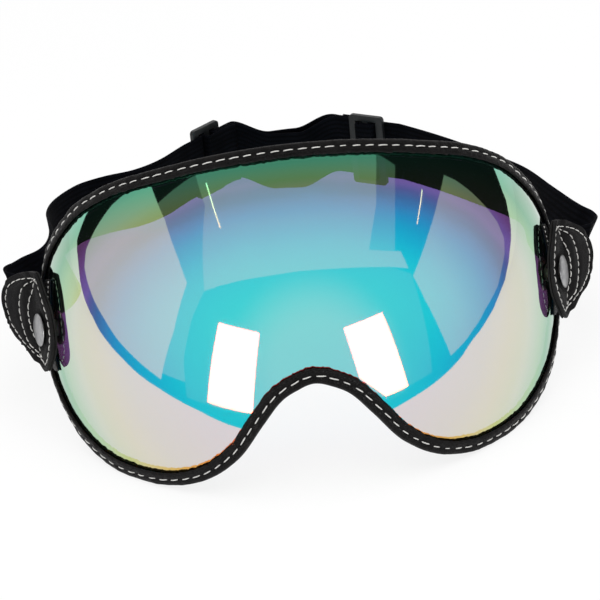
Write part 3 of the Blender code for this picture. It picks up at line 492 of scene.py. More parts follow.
# %% Bubble and outline
LENS_HALF_WIDTH = 0.1055
LENS_HALF_HEIGHT = 0.118
LENS_BULGE = 0.082
LENS_WALL = 0.0018
RIVET_AHEAD = 0.022
GAP = 0.0003
BINDING_LEATHER = 0.0012
BINDING_REACH = 0.0049
BUBBLE_AXES = np.array([LENS_HALF_WIDTH, LENS_BULGE, LENS_HALF_HEIGHT])
BUBBLE_CENTRE = np.array([0.0, RIVET_AHEAD, 0.0])
RIM_SHARES = [
    (0.000, 0.345), (0.139, 0.379), (0.256, 0.489), (0.317, 0.620), (0.367, 0.756), (0.433, 0.920),
    (0.511, 0.962), (0.589, 0.899), (0.661, 0.769), (0.728, 0.618), (0.778, 0.503), (0.814, 0.393),
    (0.836, 0.284), (0.864, 0.216), (0.922, 0.178), (1.000, 0.162),
]
RIM_STATIONS = 960
RIM_STEPS = 60
TINY = 1e-9


def bubble_points(across, upward):
    across = np.asarray(across, float)
    upward = np.asarray(upward, float)
    reach = np.hypot(across, upward)
    angle = reach * QUARTER_TURN
    spread = np.where(reach > TINY, np.sin(angle) / np.maximum(reach, TINY), QUARTER_TURN)
    return BUBBLE_CENTRE + BUBBLE_AXES * np.stack([across * spread, -np.cos(angle), upward * spread], -1)


def bubble_normals(points):
    return unit((points - BUBBLE_CENTRE) / BUBBLE_AXES**2)


def on_bubble(points, height):
    """The nearest places on the bubble, raised by a height along the normal."""
    seats = BUBBLE_CENTRE + unit((points - BUBBLE_CENTRE) / BUBBLE_AXES) * BUBBLE_AXES
    return seats + bubble_normals(seats) * np.asarray(height, float)[..., None]


def map_places(points):
    parts = unit((points - BUBBLE_CENTRE) / BUBBLE_AXES)
    reach = np.arccos(-parts[..., 1]) / QUARTER_TURN
    bearing = np.arctan2(parts[..., 0], parts[..., 2])
    return np.stack([reach * np.sin(bearing), reach * np.cos(bearing)], -1)


half = [(reach * math.sin(bearing * HALF_TURN), reach * math.cos(bearing * HALF_TURN))
        for bearing, reach in RIM_SHARES]
other_half = [(-across, upward) for across, upward in reversed(half[1:-1])]
rim_line = np.array(smooth_line(half + other_half, RIM_STEPS, closed=True))
rim_ring = np.concatenate([rim_line, rim_line[:1]])
rim_along = run_along(bubble_points(rim_ring[:, 0], rim_ring[:, 1]))
rim_wanted = np.linspace(0.0, rim_along[-1], RIM_STATIONS + 1)[:-1]
rim_map = np.stack([np.interp(rim_wanted, rim_along, rim_ring[:, axis]) for axis in (0, 1)], -1)
rim_edge = bubble_points(rim_map[:, 0], rim_map[:, 1])
rim_ways = np.roll(rim_edge, -1, axis=0) - np.roll(rim_edge, 1, axis=0)
rim_inward = unit(np.cross(rim_ways, bubble_normals(rim_edge)))
print("rim length in metres:", round(float(rim_along[-1]), 4))

# %% The lens piece
RINGS = 56
RING_STRIDE = 2
inner_edge = map_places(on_bubble(rim_edge + rim_inward * BINDING_REACH, np.zeros(RIM_STATIONS)))[::RING_STRIDE]
lens_rings = [inner_edge * (ring / RINGS) for ring in range(1, RINGS + 1)]
lens_rings.append(rim_map[::RING_STRIDE])
ring_size = len(inner_edge)
lens_shares = np.array(lens_rings)
seats = bubble_points(lens_shares[..., 0], lens_shares[..., 1]).reshape(-1, 3)
seats = np.concatenate([bubble_points(0.0, 0.0)[None], seats])
lens_points = [on_bubble(seats, np.full(len(seats), height)) for height in (0.0, -LENS_WALL)]
skin = len(lens_points[0])
lens_faces = []
for base in (0, skin):
    lens_faces += [(base, base + 1 + (i + 1) % ring_size, base + 1 + i) for i in range(ring_size)]
    lens_faces += grid_faces(len(lens_rings), ring_size, close_columns=True, first=base + 1)
last = skin - ring_size
for i in range(ring_size):
    ahead = (i + 1) % ring_size
    lens_faces.append((last + i, last + ahead, skin + last + ahead, skin + last + i))
lens = add_piece("lens_shell", to_world(np.concatenate(lens_points)), lens_faces, mirror_coat)
lens.data.materials.append(clear_inside)
inner_from = (len(lens_faces) - ring_size) // 2
for face in lens.data.polygons:
    face.material_index = 1 if face.index >= inner_from else 0
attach(lens, "shield")
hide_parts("lens")
print("lens faces:", len(lens.data.polygons))

# %% [markdown]
# ## The leather binding
# A strip of black leather is folded over the lens edge and sewn through near its middle. The needle pulls
# the seam down and leaves a soft roll on each side, the fold wrinkles where the edge turns, and the cut
# edge is a little ragged. A closed profile is carried round the outline, and waves push it in and out.

# %% The binding piece
BINDING_SEAM = 0.0019
SEAM_DEPTH = 0.00034
SEAM_WIDTH = 0.0009
ROLL_HEIGHT = 0.00020
CUT_EDGE_DROP = 0.0003
CUT_EDGE_WIDTH = 0.0005
RAGGED_DEPTH = 0.00022
RAGGED_PITCH = 0.0011
RAGGED_WIDTH = 0.0012
RAGGED_SEED = 31
CREASES = ((0.0045, 7, 0.00011), (0.0016, 8, 0.00006))
LEG_STATIONS = 19
CAVITY_STRIDE = 3
FOLD_STATIONS = 13
wall_middle = -LENS_WALL / 2
binding_tall = LENS_WALL / 2 + GAP + BINDING_LEATHER
binding_deep = GAP + BINDING_LEATHER


def leg_crown(reach):
    """Height of the leather above its flat leg: two rolls with the seam pulled in between."""
    rolls = np.sin(HALF_TURN * np.clip(reach / BINDING_REACH, 0.0, 1.0)) * ROLL_HEIGHT
    seam = SEAM_DEPTH * np.exp(-((reach - BINDING_SEAM) / SEAM_WIDTH) ** 2)
    return rolls - seam - CUT_EDGE_DROP * ramp(reach, BINDING_REACH - CUT_EDGE_WIDTH, CUT_EDGE_WIDTH)


leg = np.linspace(BINDING_REACH, 0.0, LEG_STATIONS)[:-1]
profile = [(reach, wall_middle + binding_tall + leg_crown(reach), 1.0) for reach in leg]
profile += [(-binding_deep * math.cos(turn), wall_middle + (binding_tall + leg_crown(0.0)) * math.sin(turn), 1.0)
            for turn in np.linspace(QUARTER_TURN, -QUARTER_TURN, FOLD_STATIONS)]
profile += [(reach, wall_middle - binding_tall - leg_crown(reach), 1.0) for reach in leg[::-1]]
cavity = binding_tall - BINDING_LEATHER
profile += [(reach, wall_middle - cavity, 0.0) for reach in leg[::CAVITY_STRIDE]]
profile += [(-GAP, wall_middle - cavity, 0.0), (-GAP, wall_middle + cavity, 0.0)]
profile += [(reach, wall_middle + cavity, 0.0) for reach in leg[::-1][::CAVITY_STRIDE]]
strips = []
for reach, height, skin in profile:
    place = rim_edge + rim_inward * reach
    at_edge = skin * ramp(reach, BINDING_REACH - RAGGED_WIDTH, RAGGED_WIDTH)
    place = place + rim_inward * (waves(place, RAGGED_PITCH, RAGGED_SEED) * RAGGED_DEPTH * at_edge)[:, None]
    creased = sum(waves(place, pitch, seed) * depth for pitch, seed, depth in CREASES)
    outer_side = 1.0 if height > wall_middle else -1.0
    strips.append(on_bubble(place, height + creased * skin * outer_side))
binding_grid = np.stack(strips, axis=1)
binding = add_piece("edge_binding", to_world(binding_grid.reshape(-1, 3)),
                    grid_faces(RIM_STATIONS, len(profile), close_rows=True, close_columns=True), binding_leather)
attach(binding, "shield")
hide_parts("rim_binding")
print("binding faces:", len(binding.data.polygons))

# %% [markdown]
# ## Stitches by Geometry Nodes
# Every seam is the same idea repeated: a short arc of thread, dipping into the leather at both ends, set
# at an even pitch along a line. The node tree takes a line whose points know which way the surface faces,
# spreads points along it, turns one arc at each point, and realizes them into one mesh.

# %% The stitch tree
ARC_SIDES = 6
THREAD_SIDES = 6


def stitch_tree():
    tree = bpy.data.node_groups.new("sewn_stitches", "GeometryNodeTree")
    sizes = ("Pitch", "Stitch Length", "Thread Radius", "Rise", "Dip", "Slant", "Unevenness")
    inputs = [("Seam Line", "Geometry")] + [(label, "Float") for label in sizes]
    for label, kind in inputs + [("Seed", "Int"), ("Thread", "Material")]:
        tree.interface.new_socket(label, in_out="INPUT", socket_type="NodeSocket" + kind)
    tree.interface.new_socket("Stitches", in_out="OUTPUT", socket_type="NodeSocketGeometry")
    entry = tree.nodes.new("NodeGroupInput").outputs

    def made(kind, values=None, **settings):
        return put(tree, kind, values, **settings).outputs[0]

    line = made("GeometryNodeMeshToCurve", {"Mesh": entry["Seam Line"]})
    evened = made("GeometryNodeResampleCurve", {"Curve": line, "Length": entry["Pitch"]}, mode="LENGTH")
    ahead = calc(tree, "MULTIPLY", entry["Stitch Length"], 0.5)
    back, down, aside = (calc(tree, "MULTIPLY", size, -1.0) for size in (ahead, entry["Dip"], entry["Slant"]))
    top = calc(tree, "MULTIPLY_ADD", entry["Rise"], 2.0, entry["Dip"])
    arc = made("GeometryNodeCurveQuadraticBezier", {
        "Resolution": ARC_SIDES, "Start": made("ShaderNodeCombineXYZ", {0: back, 1: aside, 2: down}),
        "Middle": made("ShaderNodeCombineXYZ", {2: top}),
        "End": made("ShaderNodeCombineXYZ", {0: ahead, 1: entry["Slant"], 2: down})})
    ring = made("GeometryNodeCurvePrimitiveCircle", {"Resolution": THREAD_SIDES, "Radius": entry["Thread Radius"]})
    stitch = made("GeometryNodeCurveToMesh", {"Curve": arc, "Profile Curve": ring, "Fill Caps": True})
    facing = made("GeometryNodeInputNamedAttribute", {"Name": "surface_way"}, data_type="FLOAT_VECTOR")
    along = made("FunctionNodeAlignRotationToVector", {"Vector": made("GeometryNodeInputTangent")}, axis="X")
    turn = made("FunctionNodeAlignRotationToVector", {"Rotation": along, "Vector": facing}, axis="Z", pivot_axis="X")
    least, most = (calc(tree, operation, 1.0, entry["Unevenness"]) for operation in ("SUBTRACT", "ADD"))
    chance = put(tree, "FunctionNodeRandomValue", {2: least, 3: most, "Seed": entry["Seed"]}, data_type="FLOAT")
    stretch = made("ShaderNodeCombineXYZ", {0: chance.outputs[1], 1: 1.0, 2: 1.0})
    placed = made("GeometryNodeInstanceOnPoints", {"Points": evened, "Instance": stitch, "Rotation": turn,
                                                   "Scale": stretch})
    real = made("GeometryNodeRealizeInstances", {"Geometry": placed})
    smooth = made("GeometryNodeSetShadeSmooth", {"Geometry": real})
    sewn = made("GeometryNodeSetMaterial", {"Geometry": smooth, "Material": entry["Thread"]})
    put(tree, "NodeGroupOutput", {0: sewn})
    return tree


stitches = stitch_tree()


def sew(name, body, lines, material, **sizes):
    """Sew along lines, each a row of places, its surface ways, and whether it closes on itself."""
    points, ways, edges = [], [], []
    for places, facing, closed in lines:
        first = len(points)
        points += [tuple(place) for place in places]
        ways += [tuple(way) for way in facing]
        edges += [(first + i, first + i + 1) for i in range(len(places) - 1)]
        if closed:
            edges.append((first + len(places) - 1, first))
    mesh = bpy.data.meshes.new(name + "_line")
    mesh.from_pydata(points, edges, [])
    attribute = mesh.attributes.new("surface_way", "FLOAT_VECTOR", "POINT")
    attribute.data.foreach_set("vector", np.array(ways, np.float32).ravel())
    guide = add_object(name + "_line", mesh)
    modifier = guide.modifiers.new("sewing", "NODES")
    modifier.node_group = stitches
    values = {"Pitch": 0.0038, "Stitch Length": 0.0025, "Thread Radius": 0.00027, "Rise": 0.00018, "Dip": 0.0003,
              "Slant": 0.00022, "Unevenness": 0.08, "Seed": 3, "Thread": material}
    values.update({label.replace("_", " "): value for label, value in sizes.items()})
    for socket in stitches.interface.items_tree:
        if socket.in_out == "INPUT" and socket.name in values:
            modifier[socket.identifier] = values[socket.name]
    sewn = finished_mesh(guide)
    bpy.data.objects.remove(guide, do_unlink=True)
    sewn.name = name
    piece = add_object(name, sewn)
    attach(piece, body)
    print(name, "faces:", len(sewn.polygons))


print("nodes in the stitch tree:", len(stitches.nodes))

# %% Stitches round the binding
seam_place = rim_edge + rim_inward * BINDING_SEAM
seam_way = bubble_normals(seam_place)
seams = []
for out in (1, -1):
    seam_height = wall_middle + out * (binding_tall + leg_crown(BINDING_SEAM))
    seam_top = on_bubble(seam_place, np.full(RIM_STATIONS, seam_height))
    seams.append((to_world(seam_top), way_to_world(out * seam_way), True))
sew("binding_stitches", "shield", seams, thread, Pitch=0.0054, Stitch_Length=0.0037,
    Thread_Radius=0.00025, Slant=0.00012)

# %% [markdown]
# ## What sits at the rivet
# At each side a rivet goes through a leather patch on the lens and through the leaf-shaped tab. The same
# frame serves both sides: out along the rivet, back along the lens, and up, mirrored for the other side.

# %% The rivet's frame and the patches
RIVET_REACH = math.acos(RIVET_AHEAD / LENS_BULGE) / QUARTER_TURN
RIVET_SEAT = bubble_points(RIVET_REACH, 0.0)
RIVET_NORMAL = bubble_normals(RIVET_SEAT)
RIVET_BACK = np.array([-RIVET_NORMAL[1], RIVET_NORMAL[0], 0.0])
PATCH_LEATHER = 0.0007
PATCH_FRONT = 0.0009
PATCH_SLOPE = 0.062
PATCH_HALF_HEIGHT = 0.0186
PATCH_RAISE = 0.0012
PATCH_EDGE_GAP = 0.0008
PATCH_SQUARENESS = 4.0
PATCH_END_SHARE = 0.5
PATCH_ROWS = 61
PATCH_COLUMNS = 33
PATCH_FULLNESS = 0.995
THIN_ROUNDING = 0.9
PATCH_GRAIN = (0.0022, 41, 0.00004)
PATCH_SEAM_INSET = 0.0014
PATCH_SEAM_ROWS = slice(32, 54)
SIDES = ((-1, "left"), (1, "right"))


def mirrored(points, side):
    return np.asarray(points, float) * np.array([side, 1.0, 1.0])


def sheet_piece(name, top, bottom, material):
    """A closed sheet between two grids of the same size."""
    rows, columns = top.shape[:2]
    points = np.concatenate([top.reshape(-1, 3), bottom.reshape(-1, 3)])
    under = rows * columns
    faces = grid_faces(rows, columns)
    faces += [tuple(under + index for index in reversed(face)) for face in faces]
    border = list(range(columns)) + [row * columns + columns - 1 for row in range(1, rows)]
    border += [(rows - 1) * columns + column for column in range(columns - 2, -1, -1)]
    border += [row * columns for row in range(rows - 2, 0, -1)]
    faces += [(a, b, under + b, under + a) for a, b in zip(border, border[1:] + border[:1])]
    return add_piece(name, points, faces, material)


def rounded(inset, radius):
    """How far a sheet's face has sunk at a distance in from its rounded edge."""
    short = np.clip(radius - inset, 0.0, radius)
    return radius - np.sqrt(radius**2 - short**2)


rim_bearing = np.abs(np.arctan2(rim_map[:, 0], rim_map[:, 1]))
rim_order = np.argsort(rim_bearing)
rim_reach = np.hypot(rim_map[:, 0], rim_map[:, 1])
rivet_angle = RIVET_REACH * QUARTER_TURN
levels = PATCH_HALF_HEIGHT * np.sin(QUARTER_TURN * np.linspace(-1, 1, PATCH_ROWS) * PATCH_FULLNESS)[:, None]
shares = (1 - np.cos(HALF_TURN * np.linspace(0, 1, PATCH_COLUMNS)))[None] / 2
roundness = (1 - np.abs(levels / PATCH_HALF_HEIGHT) ** PATCH_SQUARENESS) ** (1 / PATCH_SQUARENESS)
inset = PATCH_HALF_HEIGHT - np.abs(levels)
levels = levels + PATCH_RAISE
edge_reach = np.interp(np.arccos(levels / LENS_HALF_HEIGHT), rim_bearing[rim_order], rim_reach[rim_order])
rear = edge_reach * QUARTER_TURN - (BINDING_REACH + PATCH_EDGE_GAP) / LENS_BULGE
front = rivet_angle - (PATCH_FRONT + PATCH_SLOPE * levels) * roundness / LENS_BULGE
rear_end = rivet_angle + (rear - rivet_angle) * np.maximum(roundness, PATCH_END_SHARE)
angle = front + (rear_end - front) * shares
tilt = np.arccos(levels / (LENS_HALF_HEIGHT * np.sin(angle)))
seats = bubble_points(angle / QUARTER_TURN * np.sin(tilt), angle / QUARTER_TURN * np.cos(tilt))
inset = np.minimum(inset, np.minimum(angle - front, rear_end - angle) * LENS_BULGE)
sunk = rounded(inset, PATCH_LEATHER / 2) * THIN_ROUNDING
rough = waves(seats, *PATCH_GRAIN[:2]) * PATCH_GRAIN[2]
column = int(np.argmin(np.abs(inset[PATCH_ROWS // 2] - PATCH_SEAM_INSET)))
column = min(column, PATCH_COLUMNS - 1 - column)
for patch_side, tag in SIDES:
    top = mirrored(on_bubble(seats, GAP + PATCH_LEATHER - sunk + rough), patch_side)
    bottom = mirrored(on_bubble(seats, GAP + sunk), patch_side)
    patch = sheet_piece("lens_patch_" + tag, to_world(top), to_world(bottom), binding_leather)
    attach(patch, "shield")
    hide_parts("side_patch_" + tag)
    line = top[PATCH_SEAM_ROWS, column]
    facing = mirrored(bubble_normals(mirrored(line, patch_side)), patch_side)
    sew("patch_stitches_" + tag, "shield", [(to_world(line), way_to_world(facing), False)], thread,
        Pitch=0.0019, Stitch_Length=0.0010, Thread_Radius=0.00016, Slant=0.0)

# %% [markdown]
# ## The leaf tabs
# Each tab is two leathers with a thin pad between them, cut like a leaf and bent outwards behind the
# rivet. Four seams run from one node near the top to one near the bottom, as a leaf's veins do, and the
# pad swells softly between them. The surface height is worked out from the distance to the nearest seam.

# %% Leaf shape
LEAF_LEATHER = 0.0008
LEAF_HALF_HEIGHT = 0.0200
LEAF_FRONT = -0.0100
LEAF_REAR = 0.0288
LEAF_TIP_PLACE = 0.0020
LEAF_TIP_SPREAD = 0.035
LEAF_TAPER = 0.75
LEAF_DIP = 0.0011
LEAF_BEND_START = 0.0020
LEAF_BEND_RADIUS = 0.0370
LEAF_SLOPES = {-1: 0.38, 1: 0.21}
LEAF_LIFTS = {-1: 0.0030, 1: 0.0010}
SEAM_HALF_HEIGHT = 0.0172
SEAM_PLACES = (-0.0074, 0.0098, 0.0160, 0.0266)
PAD_SWELL = 0.00075
SEAM_PULL = 0.0013
SEAM_STATIONS = 121
STEP_START = 0.0070
STEP_LENGTH = 0.0025
PAD_SLOPE_LENGTH = 0.0030
PAD_REAR = 0.0230
PAD_HALF_HEIGHT = 0.0120
PAD_THICKNESS = 0.0010
STRAP_THICKNESS = 0.0012
LEAF_BACK_BASE = 0.0023
LEAF_FRONT_BASE = LEAF_BACK_BASE + LEAF_LEATHER + GAP
LEAF_BORE = 0.0037
LEAF_ROWS = 97
LEAF_COLUMNS = 113
LEAF_RIPPLE = (0.0035, 0.00005)
RIPPLE_SEED = 50
DIP_START = 0.0040
DIP_LENGTH = 0.0060
CAP_CLEAR = 0.0070
CAP_BLEND = 0.0020
FLAT_SHARE = 0.12
TIP_INSET_SHARE = 0.8
FRONT_SHARE = 0.3
FRONT_BLEND = 0.0026
CLOUD_PART = 2000


def leaf_places(side, along, level, stand):
    """Places on a tab: along it from the rivet, up it, and out from the lens."""
    along, level, stand = np.broadcast_arrays(along, level, stand)
    bend = np.maximum(0.0, (along - LEAF_BEND_START) / LEAF_BEND_RADIUS)
    back = np.where(bend > 0, LEAF_BEND_START + LEAF_BEND_RADIUS * np.sin(bend), along)
    out = LEAF_BEND_RADIUS * (1 - np.cos(bend))
    facing = (RIVET_NORMAL * np.cos(bend)[..., None] - RIVET_BACK * np.sin(bend)[..., None])
    stand = stand - LEAF_DIP * ramp(-along, DIP_START, DIP_LENGTH)
    places = RIVET_SEAT + RIVET_BACK * back[..., None] + RIVET_NORMAL * out[..., None] + facing * stand[..., None]
    rise = level + LEAF_LIFTS[side] + LEAF_SLOPES[side] * (along - LEAF_TIP_PLACE)
    return mirrored(places + UPWARD * rise[..., None], side), mirrored(facing, side)


def leaf_spread(level, half_height):
    return np.maximum(0.0, 1 - (level / half_height) ** 2) ** LEAF_TAPER


def core_lift(along, level):
    """How far the outer leather is lifted by the strap's end and the pad under it."""
    over_pad = ramp(along, STEP_START + PAD_SLOPE_LENGTH / 2, PAD_SLOPE_LENGTH)
    over_pad *= 1 - ramp(along, PAD_REAR, PAD_SLOPE_LENGTH)
    over_pad *= 1 - ramp(np.abs(level), PAD_HALF_HEIGHT, PAD_SLOPE_LENGTH)
    return ramp(along, STEP_START, STEP_LENGTH) * (STRAP_THICKNESS + GAP) + over_pad * (PAD_THICKNESS + GAP)


seam_levels = np.linspace(-SEAM_HALF_HEIGHT, SEAM_HALF_HEIGHT, SEAM_STATIONS)
seam_lines = []
for seam in SEAM_PLACES:
    seam_along = LEAF_TIP_PLACE + (seam - LEAF_TIP_PLACE) * leaf_spread(seam_levels, SEAM_HALF_HEIGHT)
    seam_lines.append(np.stack([seam_along, seam_levels], -1))
seam_cloud = np.concatenate(seam_lines)


def seam_distance(along, level):
    flat = np.stack(np.broadcast_arrays(along, level), -1).reshape(-1, 2)
    near = np.empty(len(flat))
    for first in range(0, len(flat), CLOUD_PART):
        part = flat[first:first + CLOUD_PART]
        near[first:first + CLOUD_PART] = np.sqrt(((part[:, None] - seam_cloud[None]) ** 2).sum(-1)).min(-1)
    return near.reshape(np.broadcast(along, level).shape)


def face_height(side, along, level):
    """Height of the outer leather's face over its flat seat, without what lies under it."""
    away = np.hypot(along, level + LEAF_LIFTS[side] + LEAF_SLOPES[side] * (along - LEAF_TIP_PLACE))
    swell = PAD_SWELL * (1 - np.exp(-(seam_distance(along, level) / SEAM_PULL) ** 2))
    swell *= FLAT_SHARE + (1 - FLAT_SHARE) * ramp(away, CAP_CLEAR, CAP_BLEND)
    return swell * (FRONT_SHARE + (1 - FRONT_SHARE) * ramp(along, LEAF_FRONT, FRONT_BLEND))


leaf_levels = LEAF_HALF_HEIGHT * np.sin(QUARTER_TURN * np.linspace(-1, 1, LEAF_ROWS))[:, None]
leaf_shares = ((1 - np.cos(HALF_TURN * np.linspace(0, 1, LEAF_COLUMNS))) / 2)[None]
leaf_columns = LEAF_FRONT + (LEAF_REAR - LEAF_FRONT) * leaf_shares
leaf_width = np.maximum(leaf_spread(leaf_levels, LEAF_HALF_HEIGHT), LEAF_TIP_SPREAD)
leaf_along = LEAF_TIP_PLACE + (leaf_columns - LEAF_TIP_PLACE) * leaf_width
leaf_inset = np.minimum(leaf_along - leaf_along[:, :1], leaf_along[:, -1:] - leaf_along)
leaf_inset = np.minimum(leaf_inset, (LEAF_HALF_HEIGHT - np.abs(leaf_levels)) * TIP_INSET_SHARE)
print("leaf grid:", leaf_along.shape)

# %% Holes by Boolean
BORE_SIDES = 48
BORE_REACH = (-0.006, 0.012)


def rivet_ways(side):
    outward = mirrored(RIVET_NORMAL, side)
    back = mirrored(RIVET_BACK, side)
    return mirrored(RIVET_SEAT, side), outward, back, np.cross(outward, back)


def turned_points(side, profile, sides):
    """Points of a profile of radius and height, turned about a rivet's axis."""
    seat, outward, back, level = rivet_ways(side)
    turns = np.linspace(0.0, FULL_TURN, sides, endpoint=False)
    ring = np.cos(turns)[:, None] * back + np.sin(turns)[:, None] * level
    rows = [seat + outward * height + ring * radius for radius, height in profile]
    return to_world(np.stack(rows))


def bore(piece, side, radius):
    """Cut the rivet's hole through a piece and keep the result as its own mesh."""
    rings = turned_points(side, [(radius, height) for height in BORE_REACH], BORE_SIDES)
    faces = grid_faces(2, BORE_SIDES, close_columns=True)
    faces += [tuple(range(BORE_SIDES)), tuple(range(BORE_SIDES, 2 * BORE_SIDES))]
    cutter = add_piece("cutter", rings.reshape(-1, 3), faces, piece.data.materials[0])
    cut = piece.modifiers.new("bore", "BOOLEAN")
    cut.operation = "DIFFERENCE"
    cut.solver = "EXACT"
    cut.object = cutter
    holed = finished_mesh(piece)
    piece.modifiers.remove(cut)
    piece.data = holed
    bpy.data.objects.remove(cutter, do_unlink=True)


print("rivet axis on the right:", np.round(way_to_world(RIVET_NORMAL), 3))

# %% The leaf pieces
LEAF_ROUNDING = 0.55
MOST_DROP = 0.47
SEAM_ENDS = 2
THROUGH_SEAMS = (0, 3)
for leaf_side, tag in SIDES:
    edge_drop = rounded(leaf_inset, LEAF_LEATHER * LEAF_ROUNDING)
    lift = core_lift(leaf_along, leaf_levels)
    flat = np.stack(np.broadcast_arrays(leaf_along, leaf_levels, 0.0), -1)
    ripple = waves(flat, LEAF_RIPPLE[0], RIPPLE_SEED + leaf_side) * LEAF_RIPPLE[1]
    face = LEAF_FRONT_BASE + LEAF_LEATHER + face_height(leaf_side, leaf_along, leaf_levels) + lift + ripple
    under = LEAF_FRONT_BASE + lift
    drop = np.minimum(edge_drop, (face - under) * MOST_DROP)
    top, _ = leaf_places(leaf_side, leaf_along, leaf_levels, face - drop)
    bottom, _ = leaf_places(leaf_side, leaf_along, leaf_levels, under + drop / 2)
    leaf = sheet_piece("leaf_face_" + tag, to_world(top), to_world(bottom), leaf_leather)
    bore(leaf, leaf_side, LEAF_BORE)
    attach(leaf, "head_strap")
    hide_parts("leaf_front_" + tag, "leaf_foam_" + tag)
    inner_drop = rounded(leaf_inset, LEAF_LEATHER / 2) * THIN_ROUNDING
    top, _ = leaf_places(leaf_side, leaf_along, leaf_levels, LEAF_BACK_BASE + LEAF_LEATHER - inner_drop)
    bottom, _ = leaf_places(leaf_side, leaf_along, leaf_levels, LEAF_BACK_BASE + inner_drop + ripple)
    leaf_inside = sheet_piece("leaf_lining_" + tag, to_world(top), to_world(bottom), inner_leather)
    bore(leaf_inside, leaf_side, LEAF_BORE)
    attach(leaf_inside, "head_strap")
    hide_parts("leaf_back_" + tag)
    lines = []
    for number, seam in enumerate(seam_lines):
        along, level = seam[SEAM_ENDS:-SEAM_ENDS].T
        height = LEAF_FRONT_BASE + LEAF_LEATHER + face_height(leaf_side, along, level) + core_lift(along, level)
        place, facing = leaf_places(leaf_side, along, level, height)
        lines.append((to_world(place), way_to_world(facing), False))
        if number in THROUGH_SEAMS:
            place, facing = leaf_places(leaf_side, along, level, LEAF_BACK_BASE)
            lines.append((to_world(place), way_to_world(-facing), False))
    sew("leaf_stitches_" + tag, "head_strap", lines, thread, Pitch=0.0030, Stitch_Length=0.0025,
        Thread_Radius=0.00021, Dip=0.0002, Slant=0.00008)
print("leaves made")

# %% [markdown]
# ## Rivets
# A domed nickel cap closes each rivet outside, and its flange shows through the lens from the front. The
# caps are turned from a fine profile with a small rolled rim. The studs, washers and collars are plain
# turned metal already, so they keep their own shapes and only take a finish.

# %% Rivet caps and metal
SHANK_RADIUS = 0.0020
CAP_RADIUS = 0.0067
CAP_HEIGHT = 0.0013
CAP_RIM_HEIGHT = 0.0005
CAP_BASE = 0.0048
CAP_RELIEF = 0.0006
CAP_SEAT_RADIUS = 0.0032
CAP_ROLL = 0.0003
CAP_LIP = 0.0001
ROLL_STEPS = 6
DOME_STEPS = 22
CAP_SIDES = 72
SOCKET_DEPTH = 0.0016
cap_rim = CAP_BASE + CAP_RELIEF
roll_radius = CAP_RADIUS - CAP_ROLL
dome = CAP_HEIGHT - CAP_RIM_HEIGHT
profile = [(SHANK_RADIUS + GAP, CAP_BASE + SOCKET_DEPTH), (SHANK_RADIUS + GAP, CAP_BASE),
           (CAP_SEAT_RADIUS, CAP_BASE), (roll_radius - CAP_LIP, cap_rim)]
for turn in np.linspace(-QUARTER_TURN, QUARTER_TURN, ROLL_STEPS + 1):
    profile.append((roll_radius + CAP_ROLL * math.cos(turn), cap_rim + CAP_ROLL * (1 + math.sin(turn))))
for turn in np.linspace(0.0, QUARTER_TURN, DOME_STEPS + 1)[1:-1]:
    profile.append((roll_radius * math.cos(turn), cap_rim + CAP_RIM_HEIGHT + dome * math.sin(turn)))
cap_faces = grid_faces(len(profile), CAP_SIDES, close_columns=True) + [tuple(range(CAP_SIDES))]
cap_faces.append(tuple((len(profile) - 1) * CAP_SIDES + index for index in range(CAP_SIDES)))
for cap_side, tag in SIDES:
    rings = turned_points(cap_side, profile, CAP_SIDES)
    cap = add_piece("rivet_dome_" + tag, rings.reshape(-1, 3), cap_faces, satin_nickel)
    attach(cap, "shield")
    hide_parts("rivet_cap_" + tag)
    nodes["rivet_stud_" + tag].data.materials[0] = warm_metal
    nodes["spacer_washer_" + tag].data.materials[0] = satin_nickel
    nodes["shank_collar_" + tag].data.materials[0] = satin_nickel
print("rivets dressed")

# %% [markdown]
# ## The elastic strap
# One band comes out of each leaf tab, runs back to its slider, weaves under, over and under its bars,
# crosses the back of the head, and ends sewn round the middle bar of the other slider. Each band's line
# is drawn in plan and then laid on the strap's own sheet, which rises behind the tabs. The sliders move
# along the strap, so each band is cut into lengths, and the lengths that wrap a slider's bars follow that slider.

# %% The strap's sheet and the sliders' places
STRAP_WIDTH = 0.0280
RISE_ANGLE = math.radians(24.3)
RISE_START = 0.0160
RISE_LENGTH = 0.0200
LEAN_START = 0.0260
LEAN_LENGTH = 0.0300
TAB_RISES = {-1: 0.0070, 1: 0.0035}
TAB_RISE_LENGTH = 0.0300
FALL_START = 0.0500
FALL_LENGTH = 0.0800
BACK_SAG = 0.0080
SAG_LEFT = -0.0215
SAG_RIGHT = 0.0100
SAG_LENGTH = 0.0200
LEFT_RISE = 0.0004
LEFT_RISE_LENGTH = 0.0515
LOOP_HALF_WIDTH = 0.1270
LOOP_DEPTH = 0.1800
ROUTES = {
    -1: [(0.975, 0.140), (0.929, 0.188), (0.866, 0.242), (0.831, 0.326), (0.823, 0.441), (0.823, 0.576),
         (0.799, 0.685), (0.728, 0.771), (0.630, 0.810), (0.520, 0.832), (0.429, 0.877)],
    1: [(1.000, 0.165), (0.961, 0.250), (0.898, 0.387), (0.815, 0.582), (0.650, 0.777)],
}
SLIDER_PLACES = {-1: (0.0308, 0.1845), 1: (0.0440, 0.1795)}
SLIDER_TURNS = {-1: math.radians(45.0), 1: math.radians(33.0)}
STRAIGHT_RUN = 0.0160
SEWN_TAIL = 0.0150
STRAP_START = 0.0102
LEAD_IN = (0.0268, 0.0310)
TAB_STATIONS = 22
ROUTE_STEPS = 10
CORNER = 0.0011
CORNER_STEPS = 7
BACK_PULL = 0.5
BACK_SLACKS = {-1: 0.0050, 1: 0.0}
SLACK_LEAN = 1.6
BACK_STATIONS = 61
FREE_STATIONS = 150
RUN_STEP = 0.0016
CURL_STEP = 0.0014
SLIDER_HALF_THICKNESS = 0.0013
SLIDER_HALF_BAR = 0.0017
SLOT_END_PLAY = 0.0006
SLIDER_END_BAR = 0.0034
